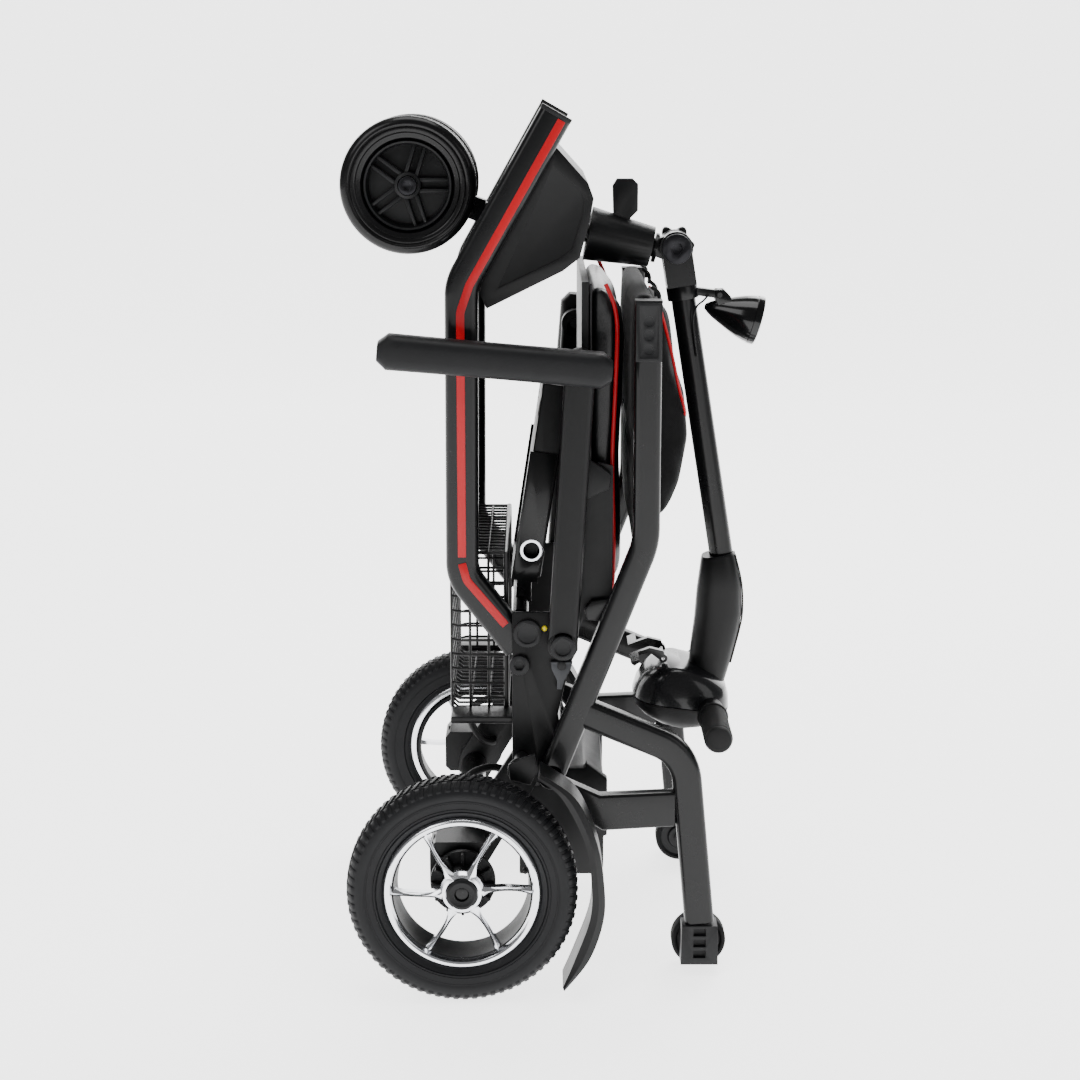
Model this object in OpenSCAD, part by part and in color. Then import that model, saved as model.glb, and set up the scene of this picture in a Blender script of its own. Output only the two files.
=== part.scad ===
// Folding mobility scooter, standing on its tail: driving forward is +Z and driving up is +X.
// The left-hand side of the scooter is -Y. Side outlines are [x, z] points.

/* [Chassis] */
// Depth of the frame rail, seen from the side
rail_depth = 36; // [30:1:42]
// Half distance between the outer faces of the two rails
rail_out = 178; // [176:1:178]
// Thickness of each rail across the scooter
rail_w = 28; // [20:1:32]
// Height of the rail's top end above the ground
rail_top = 956; // [945:1:957]

/* [Wheels] */
// Diameter of the driven rear wheels
rear_d = 254; // [250:1:256]
// Width of the rear tyres
rear_w = 50; // [44:1:50]
// Diameter of the front twin wheels
front_d = 154; // [150:1:158]
// Diameter of the stand casters
caster_d = 62; // [56:1:64]

/* [Folding frame] */
// Depth of the seat-back tubes, seen from the side
back_depth = 29; // [26:1:32]
// Wall thickness of the frame tubes
wall = 2; // [1.5:0.5:3]

/* [Steering] */
// Rake of the steering axis from the driving vertical, degrees
rake = 12; // [12:1:12]
// Lean of the folded tiller, degrees
lean = 9.2; // [9.2:0.1:9.2]
// Diameter of the tiller tube
tiller_d = 28; // [28:1:30]
// Width across the handlebar grips
bar_w = 356; // [330:1:360]

/* [Seat] */
// Width of the seat cushion
seat_w = 336; // [300:1:338]
// Length of an armrest pad
pad_l = 249; // [220:1:260]

/* [Hidden] */
$fn = 48;
fit = 0.05;             // running clearance of a pin in its bore

rear_axle = [-103, rear_d / 2];
front_axle_at = [-166, 877];
caster_at = [163, caster_d / 2];
back_pivot = [-5, 235];
post_pivot = [7, 385];
link = [47, 183];       // both links of the seat's parallelogram
seat_pivot = back_pivot + link;
post_link = post_pivot + link;
pad_pivot = [25.5, 695];
bar_at = [183, 267];    // handlebar
tiller_pivot = [138, 804];
head_at = [77, 811.5];
plate_in = 178;         // inner and outer faces of the hub plates
plate_out = 184;
tube_in = 186;          // inner face of the folding tubes and arm posts
tube_out = 211;
pad_in = 213;
wheel_in = 240;
latch_at = [6, 358];
stay_at = [-39, 249];
pack_tilt = 8.5;
u_steer = [cos(rake), -sin(rake)];
u_tiller = [sin(lean), -cos(lean)];

rail_path = [[-2, rail_top], [-103, 777], [-104, 455], [-42, 375]];
back_path = [back_pivot, [98, 500], [98, 761]];
leg_path = [[20, 312], [143, 260], [162, 62]];
post_path = [post_pivot, [18, 567], pad_pivot];

// ---- plane geometry -------------------------------------------------------
function unit(v) = v / norm(v);
function at(path, i) = path[min(max(i, 0), len(path) - 1)];
function arc(c, r, a0, a1, n = 12) = [for (i = [0:n]) let (a = a0 + (a1 - a0) * i / n) c + r * [cos(a), sin(a)]];
function turn(a, p, c, r, n) =
    let (u = unit(a - p), v = unit(c - p), h = acos(u * v) / 2, m = p + unit(u + v) * r / sin(h),
         s = p + u * r / tan(h), e = p + v * r / tan(h), a0 = atan2(s[1] - m[1], s[0] - m[0]),
         raw = atan2(e[1] - m[1], e[0] - m[0]) - a0,
         d = raw > 180 ? raw - 360 : raw < -180 ? raw + 360 : raw)
    arc(m, r, a0, a0 + d, n);
function rounded(path, r, n = 7) = concat([path[0]],
    [for (i = [1:len(path) - 2]) each turn(path[i - 1], path[i], path[i + 1], r, n)], [path[len(path) - 1]]);
function side(path, d) = [for (i = [0:len(path) - 1])
    let (p = path[i], t0 = unit(i > 0 ? p - path[i - 1] : path[1] - p),
         t1 = unit(i < len(path) - 1 ? path[i + 1] - p : p - path[i - 1]),
         b = unit([-t0[1] - t1[1], t0[0] + t1[0]]))
    p + b * d / (b * [-t0[1], t0[0]])];
function flip(list) = [for (i = [len(list) - 1:-1:0]) list[i]];
function band(path, w) = concat(side(path, w / 2), flip(side(path, -w / 2)));
function longer(path, e) = let (n = len(path) - 1) concat([path[0] - unit(path[1] - path[0]) * e], path,
    [path[n] + unit(path[n] - path[n - 1]) * e]);

// ---- solids placed in the scooter's frame -----------------------------------
module slab(outline, y0, y1) translate([0, y1, 0]) rotate([90, 0, 0]) linear_extrude(y1 - y0) polygon(outline);
module rod(p, r, y0, y1) translate([p[0], y0, p[1]]) rotate([-90, 0, 0]) cylinder(r = r, h = y1 - y0);
module hex(p, r, y0, y1) translate([p[0], y0, p[1]]) rotate([-90, 0, 0]) cylinder(r = r, h = y1 - y0, $fn = 6);
module both() { children(); mirror([0, 1, 0]) children(); }
module left() mirror([0, 1, 0]) children();
module on_wheel(p, y) translate([p[0], y, p[1]]) rotate([-90, 0, 0]) children();
module along_steer(s) translate([head_at[0] + s * u_steer[0], 0, head_at[1] + s * u_steer[1]])
    rotate([0, 90 + rake, 0]) children();
module along_tiller(t) translate([tiller_pivot[0] + t * u_tiller[0], 0, tiller_pivot[1] + t * u_tiller[1]])
    rotate([0, 180 - lean, 0]) children();
module tube(path, w, y0, y1) difference() {
    slab(band(path, w), y0, y1);
    slab(band(longer(path, 5), w - 2 * wall), y0 + wall, y1 - wall);
}
// A closed tube swept along route points [x, y, z]
function ring3(p, t, r, n) = let (z = unit(t), a = unit(cross(z, abs(z[1]) < 0.9 ? [0, 1, 0] : [1, 0, 0])),
    b = cross(z, a)) [for (i = [0:n - 1]) p + r * (a * cos(360 * i / n) + b * sin(360 * i / n))];
function smooth(pts, n) = [for (i = [0:len(pts) - 2], k = [0:n - 1])
    let (a = at(pts, i - 1), b = pts[i], c = pts[i + 1], d = at(pts, i + 2), t = k / n)
    0.5 * (2 * b + (c - a) * t + (2 * a - 5 * b + 4 * c - d) * t * t + (3 * b - a - 3 * c + d) * t * t * t)];
module cable(pts, r, n = 8) {
    p = concat(smooth(pts, 4), [pts[len(pts) - 1]]);
    m = len(p);
    v = [for (i = [0:m - 1]) each ring3(p[i], at(p, i + 1) - at(p, i - 1), r, n)];
    polyhedron(points = v, faces = concat([[for (i = [0:n - 1]) i]], [[for (i = [n - 1:-1:0]) (m - 1) * n + i]],
        [for (i = [0:m - 2], k = [0:n - 1]) [i * n + k, i * n + n + k, i * n + n + (k + 1) % n]],
        [for (i = [0:m - 2], k = [0:n - 1]) [i * n + k, i * n + n + (k + 1) % n, i * n + (k + 1) % n]]));
}

// ---- chassis ------------------------------------------------------------------
module rail() color("#18191b") tube(rounded(rail_path, 46), rail_depth, rail_out - rail_w, rail_out);
module chassis_rail_left() left() rail();
module chassis_rail_right() rail();

// Red inlay strips on the outer faces, broken where the deck ends
module rail_trims() color("#d8262f") both() {
    trim = [[5, 951], [-94, 777], [-104, 748], [-104, 478]];
    slab(band(rounded(trim, 20), 9), rail_out, rail_out + 1.2);
    slab(band(rounded([[-104, 471], [-99, 452], [-56, 401]], 20), 9), rail_out, rail_out + 1.2);
}

// Plugs in the rails' top ends, and the bolts and covers on the hub plates
module frame_caps() color("#3a3c40") both() {
    tip = unit(rail_path[0] - rail_path[1]);
    slab(band([rail_path[0], rail_path[0] + 5 * tip], rail_depth), rail_out - rail_w, rail_out);
    difference() {
        rod([-32, 394], 15.5, plate_out, plate_out + 7);
        rod([-32, 394], 11, plate_out + 5.5, plate_out + 8);
    }
    difference() {
        rod([-41, 358], 11, plate_out, plate_out + 8);
        hex([-41, 358], 6, plate_out + 3, plate_out + 9);
    }
    rod(stay_at, 8, plate_out, 228);
    rod(stay_at, 15, 228, 232);
    rod(latch_at, 3, plate_out, 192);
    rod(latch_at, 5, 192.2, 194);
    rod(post_pivot, 8, plate_out, tube_out + 1.2);
    difference() {
        rod(post_pivot, 13.5, tube_out + 1.2, tube_out + 8);
        rod(post_pivot, 9, tube_out + 5, tube_out + 9);
    }
}

deck_in = rail_out - rail_w;
module floor_pan() color("#26282b") difference() {
    slab(band([[-106, 477], [-106, 760]], 14), -deck_in, deck_in);
    slab(band([[-103.5, 480], [-103.5, 757]], 14), 3 - deck_in, deck_in - 3);
}
module floor_mat() color("#101112") for (i = [0:8])
    slab(band([[-108.5, 488 + 30 * i], [-108.5, 514 + 30 * i]], 4), 5 - deck_in, deck_in - 5);

housing = [[-2, 924], [34, 884], [40, 868], [36, 845], [25, 804], [7, 790], [-76, 749], [-84, 765], [-80, 781]];
// Hollow cover over the frame's nose, with a recessed panel on each side
module front_housing() color("#1b1d20") difference() {
    slab(housing, -deck_in, deck_in);
    slab([[-72, 768], [6, 797], [22, 808], [32, 847], [35, 867], [30, 881], [-4, 912]], 4 - deck_in, deck_in - 4);
    both() slab([[-64, 771], [2, 802], [17, 813], [27, 847], [30, 866], [26, 877], [-4, 903]],
        deck_in - 2, deck_in + 1);
    along_steer(-140) cylinder(r = 15, h = 160);
}

module steering_head() color("#1c1d20") difference() {
    union() {
        along_steer(-41) cylinder(r1 = 31, r2 = 30, h = 8);
        along_steer(-33) cylinder(r1 = 30, r2 = 23, h = 67);
        slab([[66, 842], [84, 836], [94, 846], [94, 876], [88, 882], [70, 882], [65, 874]], -7, 7);
    }
    along_steer(-45) cylinder(r = 11 + fit, h = 90);
    slab(housing, -deck_in, deck_in);
}

plate_outline = [[-49, 417], [17, 417], [24, 404], [24, 374], [15, 357], [2, 300], [13, 240], [8, 222],
    [-16, 218], [-49, 232]];
module hub_plate() color("#131416") difference() {
    union() {
        slab(plate_outline, rail_out, plate_out);
        slab([[-44, 262], [-12, 262], [-12, 234], [-78, 122], [-88, 105], [-112, 105], [-124, 120], [-120, 142]],
            rail_out - 8, rail_out);
    }
    rod(back_pivot, 12.5 + fit, rail_out - 10, plate_out + 2);
}
module hub_plate_left() left() hub_plate();
module hub_plate_right() hub_plate();

module side_lamps() color("#e8d21c") both() {
    rod([-13, 399], 3.2, plate_out, plate_out + 2);
    translate([-13, plate_out + 2, 399]) rotate([-90, 0, 0]) cylinder(r1 = 3.2, r2 = 2, h = 1.5);
}

// Cross tube between the drop plates, with the stub axles outside them
module axle_beam() color("#17181a") {
    rod(rear_axle, 16, 8 - rail_out, rail_out - 8);
    both() rod(rear_axle, 7.5, rail_out, 287);
    slab([[-46, 254], [-24, 254], [-24, 236], [-46, 236]], 8 - rail_out, rail_out - 8);
    foot = [-42, 180];
    slab([[-46, 240], [-26, 240], foot + 0.57 * [28, 33], foot + 0.1 * [28, 33], [-46, 190]], -40, 40);
}

module drive_motors() color("#1d1f22") both() difference() {
    union() {
        slab([[-140, 122], [-134, 116], [-118, 116], [-118, 150], [-80, 150], [-76, 162], [-80, 168],
            [-134, 168], [-140, 160]], rail_out, 236);
        translate([-137, 208, 152]) rotate([0, 90, 0]) cylinder(r = 15, h = 57);
    }
    rod(rear_axle, 20, 236 - 12, 240);
}

module controller_box() color("#16171a") {
    slab([[-42, 84], [50, 84], [56, 92], [56, 196], [34, 213], [-14, 213], [-42, 180]], -112, 112);
    both() color("#8d9097") slab([[56, 131], [60, 131], [60, 200], [36, 219], [34, 213], [56, 196]], 96, 112);
}

basket_x = [-118, -56];
basket_z = [289, 474];
basket_y = 138;
module bar(a, b, r) translate(a) rotate([0, acos((b - a)[2] / norm(b - a)),
    atan2((b - a)[1], (b - a)[0])]) cylinder(r = r, h = norm(b - a), $fn = 16);
// Open wire basket, its mouth towards the seat
module wire_basket() color("#222326") {
    for (i = [0:7]) let (z = basket_z[0] + (basket_z[1] - basket_z[0]) * i / 7) {
        bar([basket_x[0], -basket_y, z], [basket_x[0], basket_y, z], 1.5);
        for (s = [-1, 1]) bar([basket_x[0], s * basket_y, z], [basket_x[1], s * basket_y, z], 1.5);
    }
    for (i = [0:9]) let (y = basket_y * (2 * i / 9 - 1)) {
        bar([basket_x[0], y, basket_z[0]], [basket_x[0], y, basket_z[1]], 1.5);
        for (z = basket_z) bar([basket_x[0], y, z], [basket_x[1], y, z], 1.5);
    }
    for (x = [-97, -76], s = [-1, 1]) {
        bar([x, s * basket_y, basket_z[0]], [x, s * basket_y, basket_z[1]], 1.5);
        bar([x, -basket_y, basket_z[s > 0 ? 1 : 0]], [x, basket_y, basket_z[s > 0 ? 1 : 0]], 1.5);
    }
    for (s = [-1, 1]) bar([basket_x[1], s * basket_y, basket_z[0] - 3], [basket_x[1], s * basket_y, basket_z[1] + 3], 3);
    for (z = basket_z) bar([basket_x[1], -basket_y, z], [basket_x[1], basket_y, z], 3);
    both() slab(band([[basket_x[0], basket_z[0] + 2], [-40, basket_z[0] + 2]], 8), basket_y - 4, rail_out);
}

module rear_fenders() color("#151618") both() {
    difference() {
        slab(concat(arc(rear_axle, 157, 62, -46, 24), flip(arc(rear_axle + [-6, 3], 155, 60, -43, 24))), 236, 290);
        slab(arc(rear_axle, 148, 75, -60, 24), 230, 300);
    }
    slab([stay_at + [-12, -9], stay_at + [10, -15], [-20, 250], [-24, 270], [-36, 266], stay_at + [-14, 8]], 232, 236);
}

cable_route = [[-21, 112.8, 199], [-21, 119, 199], [-25, 125, 202], [-46, 133, 213], [-72, 140, 224], [-98, 146, 216],
    [-106, 150, 192], [-94, 156, 168], [-80, 161, 160], [-78, 165, 160], [-78, 169.2, 160]];
module motor_cable() color("#0f1011") both() cable(cable_route, 4.5);

// Battery under the seat, leaning with the frame, with its charging socket on the left end
module pack_frame() translate([-47, 0, 440]) rotate([0, pack_tilt, 0]) children();
module battery_pack() color("#141517") pack_frame() difference() {
    translate([0, -95, 0]) cube([30, 190, 222]);
    both() translate([-1, 55, 180]) cube([7, 30, 18]);
    translate([15, -96, 30]) rotate([-90, 0, 0]) cylinder(r = 9.5, h = 19);
}
module battery_dock() color("#1b1c1f") {
    difference() {
        union() {
            pack_frame() both() translate([-3, 95.3, -6]) cube([30, 3, 150]);
            pack_frame() translate([-3, -98, -6]) cube([30, 196, 5.5]);
        }
        pack_frame() translate([15, -110, 30]) rotate([-90, 0, 0]) cylinder(r = 14, h = 40);
    }
    slab([[-46, 406], [-28, 406], [-28, 434], [-44, 437]], -90, 90);
    rod([-40, 404], 9, -deck_in, deck_in);
}

// ---- steering -------------------------------------------------------------------
module front_fork() color("#1b1c1f") {
    along_steer(-172) cylinder(r = 11, h = 210);
    difference() {
        slab(band([[-84, 845.5], front_axle_at], 26), -12, 12);
        rod(front_axle_at, 6, -13, 13);
    }
    difference() {
        rod(front_axle_at, 18, -20, 20);
        rod(front_axle_at, 6, -21, 21);
    }
    knuckle();
}
module front_axle() color("#2a2b2e") {
    rod(front_axle_at, 6, -64, 64);
    both() difference() {
        rod(front_axle_at, 10, 63, 68);
        hex(front_axle_at, 5, 65, 69);
    }
}
// Eye that carries the tiller's fold pin, on top of the fork stem
module knuckle() difference() {
    union() {
        along_steer(36.5) cylinder(r = 17, h = 4);
        slab([[112, 812], [114, 794], [136, 786], [136, 822]], -12, 12);
        rod(tiller_pivot, 18.5, -12, 12);
    }
    rod(tiller_pivot, 6 + fit, -13, 13);
}

module tyre(r_out, r_in, w, crown) rotate_extrude() polygon(concat(
    [[r_in, 0.12 * w], [r_in + 0.12 * w, 0]], arc([r_out - 0.42 * w, 0.42 * w], 0.42 * w, -62, 0, 5),
    arc([r_out - 0.42 * w, 0.58 * w], 0.42 * w, 0, 62, 5), [[r_in + 0.12 * w, w], [r_in, 0.88 * w]]));
module front_tyre() color("#111214") on_wheel(front_axle_at, 22) tyre(front_d / 2, 50, 40, 6);
module front_tyre_left() left() front_tyre();
module front_tyre_right() front_tyre();
module front_rim() color("#2b2c30") on_wheel(front_axle_at, 22.5) difference() {
    union() {
        rotate_extrude() polygon([[44, 5], [50, 5], [50, 35], [44, 35]]);
        cylinder(r = 15, h = 39);
        for (k = [0:4], o = [-6, 6]) rotate(72 * k + 95)
            translate([11, o - 2.5, 25]) cube([36.5, 5, 9]);
    }
    translate([0, 0, -1]) cylinder(r = 6 + fit, h = 42);
}
module front_rim_left() left() front_rim();
module front_rim_right() front_rim();

// ---- tiller ----------------------------------------------------------------------
tube_l = 364;
module tiller_tube() color("#17181a") difference() {
    union() {
        rod(tiller_pivot, 19, -22, 22);
        along_tiller(0) translate([-17, -22, 0]) cube([34, 44, 44]);
        along_tiller(42) cylinder(r = tiller_d / 2, h = tube_l - 42);
    }
    along_tiller(-25) translate([-40, -12.4, 0]) cube([80, 24.8, 49]);
    rod(tiller_pivot, 6 + fit, -30, 30);
    along_tiller(60) cylinder(r = 11 + fit, h = tube_l);
}
module fold_pin() color("#4a4c50") difference() {
    union() {
        rod(tiller_pivot, 6, -24, 40);
        rod(tiller_pivot, 17, -29, -22);
    }
    hex(tiller_pivot, 7, -30, -25.5);
}
module fold_knob() color("#121315") difference() {
    union() {
        rod(tiller_pivot, 15, 22.4, 38);
        for (k = [0:5]) rod(tiller_pivot + 18 * [cos(60 * k), sin(60 * k)], 6, 25, 38);
    }
    rod(tiller_pivot, 6 + fit, 20, 39);
}
lamp_hinge = [189, 750];
module lamp_bracket() color("#1a1b1d") difference() {
    union() {
        along_tiller(44) difference() {
            cylinder(r = tiller_d / 2 + 4, h = 16);
            translate([0, 0, -1]) cylinder(r = tiller_d / 2, h = 18);
        }
        slab(band([[160, 754], lamp_hinge], 9), -7, 7);
        rod(lamp_hinge, 6, -7, 7);
    }
    rod(lamp_hinge, 3 + fit, -8, 8);
    along_tiller(30) cylinder(r = tiller_d / 2 + fit, h = 60);
}
lamp_r = 28.5;
lamp_tilt = 15.5;
lamp_front = [243 - lamp_r * sin(lamp_tilt), 719];
module along_lamp(s) translate([lamp_front[0] + s * cos(lamp_tilt), 0, lamp_front[1] - s * sin(lamp_tilt)])
    rotate([0, 90 + lamp_tilt, 0]) children();
module headlight_shell() color("#131416") {
    difference() {
        along_lamp(-66) difference() {
            rotate_extrude() polygon([[0, 0], [4, 1], [12, 12], [22, 36], [27, 54], [lamp_r, 60], [lamp_r, 66],
                [0, 66]]);
            translate([0, 0, 40]) cylinder(r1 = 14, r2 = 26, h = 27);
        }
        rod(lamp_hinge, 7.5, -7.4, 7.4);
    }
    difference() {
        both() slab([[184, 756], [194, 756], [202, 748], [204, 734], [190, 732], [184, 744]], 7.4, 10.4);
        rod(lamp_hinge, 3, -12, 12);
    }
    rod(lamp_hinge, 3, -12, 12);
}
module headlight_lens() color("#dfe6ea") along_lamp(-3) rotate_extrude()
    polygon([[0, 0], [24, 0], [24, 3], [17, 5.5], [9, 7], [0, 7.5]]);
wire_route = [[176, -8, 750], [170, -14, 744], [162, -16, 737], [158, -16, 722], [160, -16, 700], [163, -16, 680]];
module lamp_wire() color("#3a3b3e") cable(wire_route, 1.2);

// The part of the tiller that telescopes
shroud_path = [[192, 443], [195, 405], [194, 370], [188, 331], [181, 286]];
shroud_half = [19.5, 26.5, 28.5, 27, 22];
module inner_tube() color("#5a5d62") along_tiller(250) difference() {
    cylinder(r = 11, h = tube_l - 250 + 0.4);
    translate([0, 0, -1]) cylinder(r = 9, h = tube_l);
}
module tiller_shroud() color("#151618") difference() {
    hull_pairs();
    along_tiller(tube_l - 60) cylinder(r = 40, h = 60.4);
}
module hull_pairs() for (i = [0:3]) hull() for (k = [i, i + 1])
    translate([shroud_path[k][0], 0, shroud_path[k][1]]) rotate([0, 180 - lean + 2 * k, 0]) linear_extrude(1)
        resize([2 * shroud_half[k], 46]) circle(r = 20, $fn = 32);
module pod_cover() color("#6b6e73") {
    difference() {
        hull() for (s = [-1, 1]) {
            slab([[93, 276], [95, 290], [104, 303], [120, 312], [158, 316], [206, 290], [207, 262]], s * 36 - 8,
                s * 36 + 8);
            slab([[104, 274.7], [108, 292], [124, 302], [156, 305], [198, 285], [200, 262.9]], s * 54 - 6,
                s * 54 + 6);
        }
        hull() for (i = [3, 4]) translate([shroud_path[i][0], 0, shroud_path[i][1] - 1])
            rotate([0, 180 - lean + 8, 0]) translate([0, 0, -4]) linear_extrude(8)
            resize([2 * shroud_half[i] + 0.6, 46.6]) circle(r = 20, $fn = 32);
        rod(bar_at, 9 + fit, -80, 80);
    }
    both() lever_mount();
}
module pod_base() color("#121316") difference() {
    hull() for (s = [-1, 1]) {
        slab([[93, 275.5], [96, 262], [110, 250], [168, 239], [196, 246], [207, 261.5]], s * 36 - 8, s * 36 + 8);
        slab([[104, 274.1], [106, 264], [120, 256], [168, 247], [192, 252], [200, 262.3]], s * 54 - 6, s * 54 + 6);
    }
    rod(bar_at, 9 + fit, -80, 80);
    translate([135, 0, 230]) cylinder(r = 10 + fit, h = 20);
}
module handlebar() color("#16171a") difference() {
    rod(bar_at, 9, -170, 170);
    rod(bar_at, 7, -171, 171);
}
module grips() color("#1c1d1f") both() difference() {
    union() {
        rod(bar_at, 15.5, 88, 172);
        rod(bar_at, 17, 84, 88);
        rod(bar_at, 15.5, 172, bar_w / 2);
        for (i = [0:7]) rod(bar_at, 16.2, 94 + 9 * i, 98 + 9 * i);
    }
    rod(bar_at, 9 + fit, 80, 170);
}
// Finger levers under the control pod, and the dial on its face
lever_at = [128, 322];
module lever() difference() {
    union() {
        rod(lever_at, 5, 20, 28);
        slab([[124, 320], [132, 320], [128, 331], [112, 335], [98, 330], [98, 326], [112, 329]], 20, 28);
        slab([[98, 330], [98, 326], [92, 322], [88, 326]], 20, 62);
    }
    rod(lever_at, 2 + fit, 19, 29);
}
module lever_mount() {
    rod(lever_at, 2, 17, 31);
    for (y = [17, 28.4]) slab([[121, 314], [135, 316], [133, 327], [123, 327]], y, y + 2.6);
}
module throttle_lever() color("#0e0f10") lever();
module brake_lever() color("#0e0f10") left() lever();
module speed_dial() color("#3c3e42") translate([135, 0, 233]) {
    cylinder(r = 14, h = 6);
    translate([0, 0, 6]) cylinder(r = 10, h = 10);
    translate([-2, -14, -2]) cube([4, 28, 3]);
}

// ---- folding frame ----------------------------------------------------------------
module back_outer() slab(band(rounded(back_path, 90), back_depth), tube_in, tube_out);
module back_tubes() color("#17181a") both() {
    tube(rounded(back_path, 90), back_depth, tube_in, tube_out);
    rod(back_pivot, 14.5, tube_in, tube_out);
    slab([[34, 408], [56, 408], [66, 420], [72, 440], [56, 432], [38, 430], [31, 420]], 181, tube_in);
    rod(seat_pivot, 5, 170.6, 182);
}
module caster_legs() color("#17181a") both() {
    difference() {
        union() {
            tube(rounded(leg_path, 52), 33, tube_in, tube_out);
            slab([[4, 236], [12, 240], [49, 212], [134, 216], [134, 176], [52, 171], [22, 190], [2, 214]], 189, 208);
        }
        back_outer();
        rod(back_pivot, 15, tube_in - 1, tube_out + 1);
        slab(band(longer(rounded(leg_path, 52), 5), 33 - 2 * wall), tube_in + wall, tube_out - wall);
    }
}
module cap_face(p, w, h, holes) difference() {
    slab([p, p + [w, 0], p + [w, h], p + [0, h]], tube_out, tube_out + 2.5);
    slab([p + [4, 4], p + [w - 4, 4], p + [w - 4, h - 4], p + [4, h - 4]], tube_out + 1.3, tube_out + 3);
    if (holes == 3) for (k = [0:2]) rod(p + [w / 2, 13 + 15 * k], 5.5, tube_out + 0.6, tube_out + 3);
}
module tube_caps() color("#232427") both() {
    cap_face([84, 699], 28, 63, 3);
    slab([[83.5, 761], [112.5, 761], [112.5, 764], [83.5, 764]], tube_in, tube_out);
    difference() {
        slab([[141, 14], [183, 14], [182, 60], [142, 60]], tube_in, tube_out + 2.5);
        for (k = [0:2]) slab([[155, 22 + 13 * k], [169, 22 + 13 * k], [169, 31 + 13 * k], [155, 31 + 13 * k]],
            tube_out - 4, tube_out + 3);
    }
    rod(caster_at, 4, 159, tube_in);
    rod(caster_at, 7, 156, 159);
}
module back_crossbars() color("#1a1b1d") {
    difference() {
        rod(back_pivot, 12.5, -tube_in, tube_in);
        rod(back_pivot, 10, -tube_in - 1, tube_in + 1);
    }
    rod([98, 600], 11, -tube_in, tube_in);
}
module backrest() color("#0f1012") slab([[88, 470], [97, 466], [104, 474], [104, 588.4], [86.6, 588.4],
    [86.6, 611.6], [104, 611.6], [104, 754], [111, 768], [107, 775], [90, 776], [82, 768], [80, 640], [84, 560]],
    -tube_in, tube_in);
module rear_pouch() color("#121315") slab([[105, 500], [120, 508], [136, 545], [146, 600], [142, 650], [130, 682],
    [124, 745], [116, 762], [105, 752], [105, 614], [110, 606], [110, 594], [105, 588]], -120, 120);

// ---- seat ------------------------------------------------------------------------------
module seat_pan() color("#1d1f22") {
    slab([[27, 431], [34.5, 431], [34.5, 780], [27, 780]], -170, 170);
    both() difference() {
        slab([[30, 406], [54, 406], [62, 440], [62, 580], [46, 584], [27, 560], [27, 431]], 170, 176);
        rod(seat_pivot, 5 + fit, 168, 178);
        rod(post_link, 5 + fit, 168, 178);
    }
}
cushion = concat([[35, 428]], [[50, 424]], arc([58, 442], 12, -60, 0, 4), [[69, 520], [65, 585], [69, 652], [71, 728]],
    arc([57, 752], 14, 0, 60, 4), [[50, 786], [35, 788]]);
module seat_cushion() color("#24272b") slab(cushion, -seat_w / 2, seat_w / 2);

module arm_post() color("#131416") difference() {
    union() {
        tube(post_path, 33, tube_in, tube_out);
        rod(post_pivot, 16.5, tube_in, tube_out);
        rod(pad_pivot, 16.5, tube_in, tube_out);
        slab([[34, 545], [58, 556], [60, 572], [50, 580], [34, 590], [10, 590], [10, 545]], 181, tube_in);
        rod(post_link, 5, 170.6, 182);
        slab([[-4, 676], [40, 676], [40, 664], [32, 648], [14, 648]], tube_out, tube_out + 1);
    }
    rod(post_pivot, 8 + fit, tube_in - 1, tube_out + 1);
    rod(pad_pivot, 6 + fit, tube_in - 1, tube_out + 1);
}
module arm_post_left() left() arm_post();
module arm_post_right() arm_post();
module armrest(turned) translate([pad_pivot[0], 0, pad_pivot[1]]) rotate([0, turned, 0]) {
    difference() {
        slab(concat([[33, 15]], [[33, -15]], [[29, -19.5]], [[33 - pad_l + 4, -19.5]], [[33 - pad_l, -15]],
            [[33 - pad_l, 15]], [[33 - pad_l + 4, 19.5]], [[29, 19.5]]), pad_in, pad_in + 40);
        slab([[28, 8], [28, -8], [-210, -8], [-210, 8]], pad_in - 1, pad_in + 3);
    }
    rod([0, 0], 6, 184, pad_in + 3);
    rod([0, 0], 9, 183, tube_in - 0.2);
}
module armrest_left() color("#2c2f33") left() armrest(5);
module armrest_right() color("#2c2f33") armrest(-85);

// ---- casters and rear wheels --------------------------------------------------------------
module caster() color("#1a1b1c") on_wheel(caster_at, 160) difference() {
    rotate_extrude() polygon(concat([[3, 0], [14, 0], [16, 3], [22, 3]],
        arc([caster_d / 2 - 4, 6], 4, -70, 0, 4), arc([caster_d / 2 - 4, 18], 4, 0, 70, 4),
        [[22, 21], [16, 21], [14, 24], [3, 24]]));
    translate([0, 0, -1]) cylinder(r = 4 + fit, h = 26);
}
module caster_left() left() caster();
module caster_right() caster();
module rear_tyre() color("#121315") on_wheel(rear_axle, wheel_in) tyre(rear_d / 2, 87, rear_w, 8);
module rear_tyre_left() left() rear_tyre();
module rear_tyre_right() rear_tyre();
module spoke() linear_extrude(9) polygon(concat(
    [for (i = [0:6]) let (r = 18 + 10 * i, w = 9 - 4.5 * sin(i * 26)) [r, w / 2 + 7 * sin(i * 30)]],
    [for (i = [6:-1:0]) let (r = 18 + 10 * i, w = 9 - 4.5 * sin(i * 26)) [r, -w / 2 + 7 * sin(i * 30)]]));
module rear_rim() color("#c9ccd2") on_wheel(rear_axle, wheel_in + 1) difference() {
    union() {
        rotate_extrude() polygon([[76, 6], [87, 6], [87, 44], [82, 48], [76, 48]]);
        cylinder(r = 22, h = 46);
        cylinder(r = 16, h = 50);
        for (k = [0:5]) rotate(60 * k - 4) translate([0, 0, 34]) spoke();
    }
    translate([0, 0, -1]) cylinder(r = 7.5 + fit, h = 48);
}
module rear_rim_left() left() rear_rim();
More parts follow.
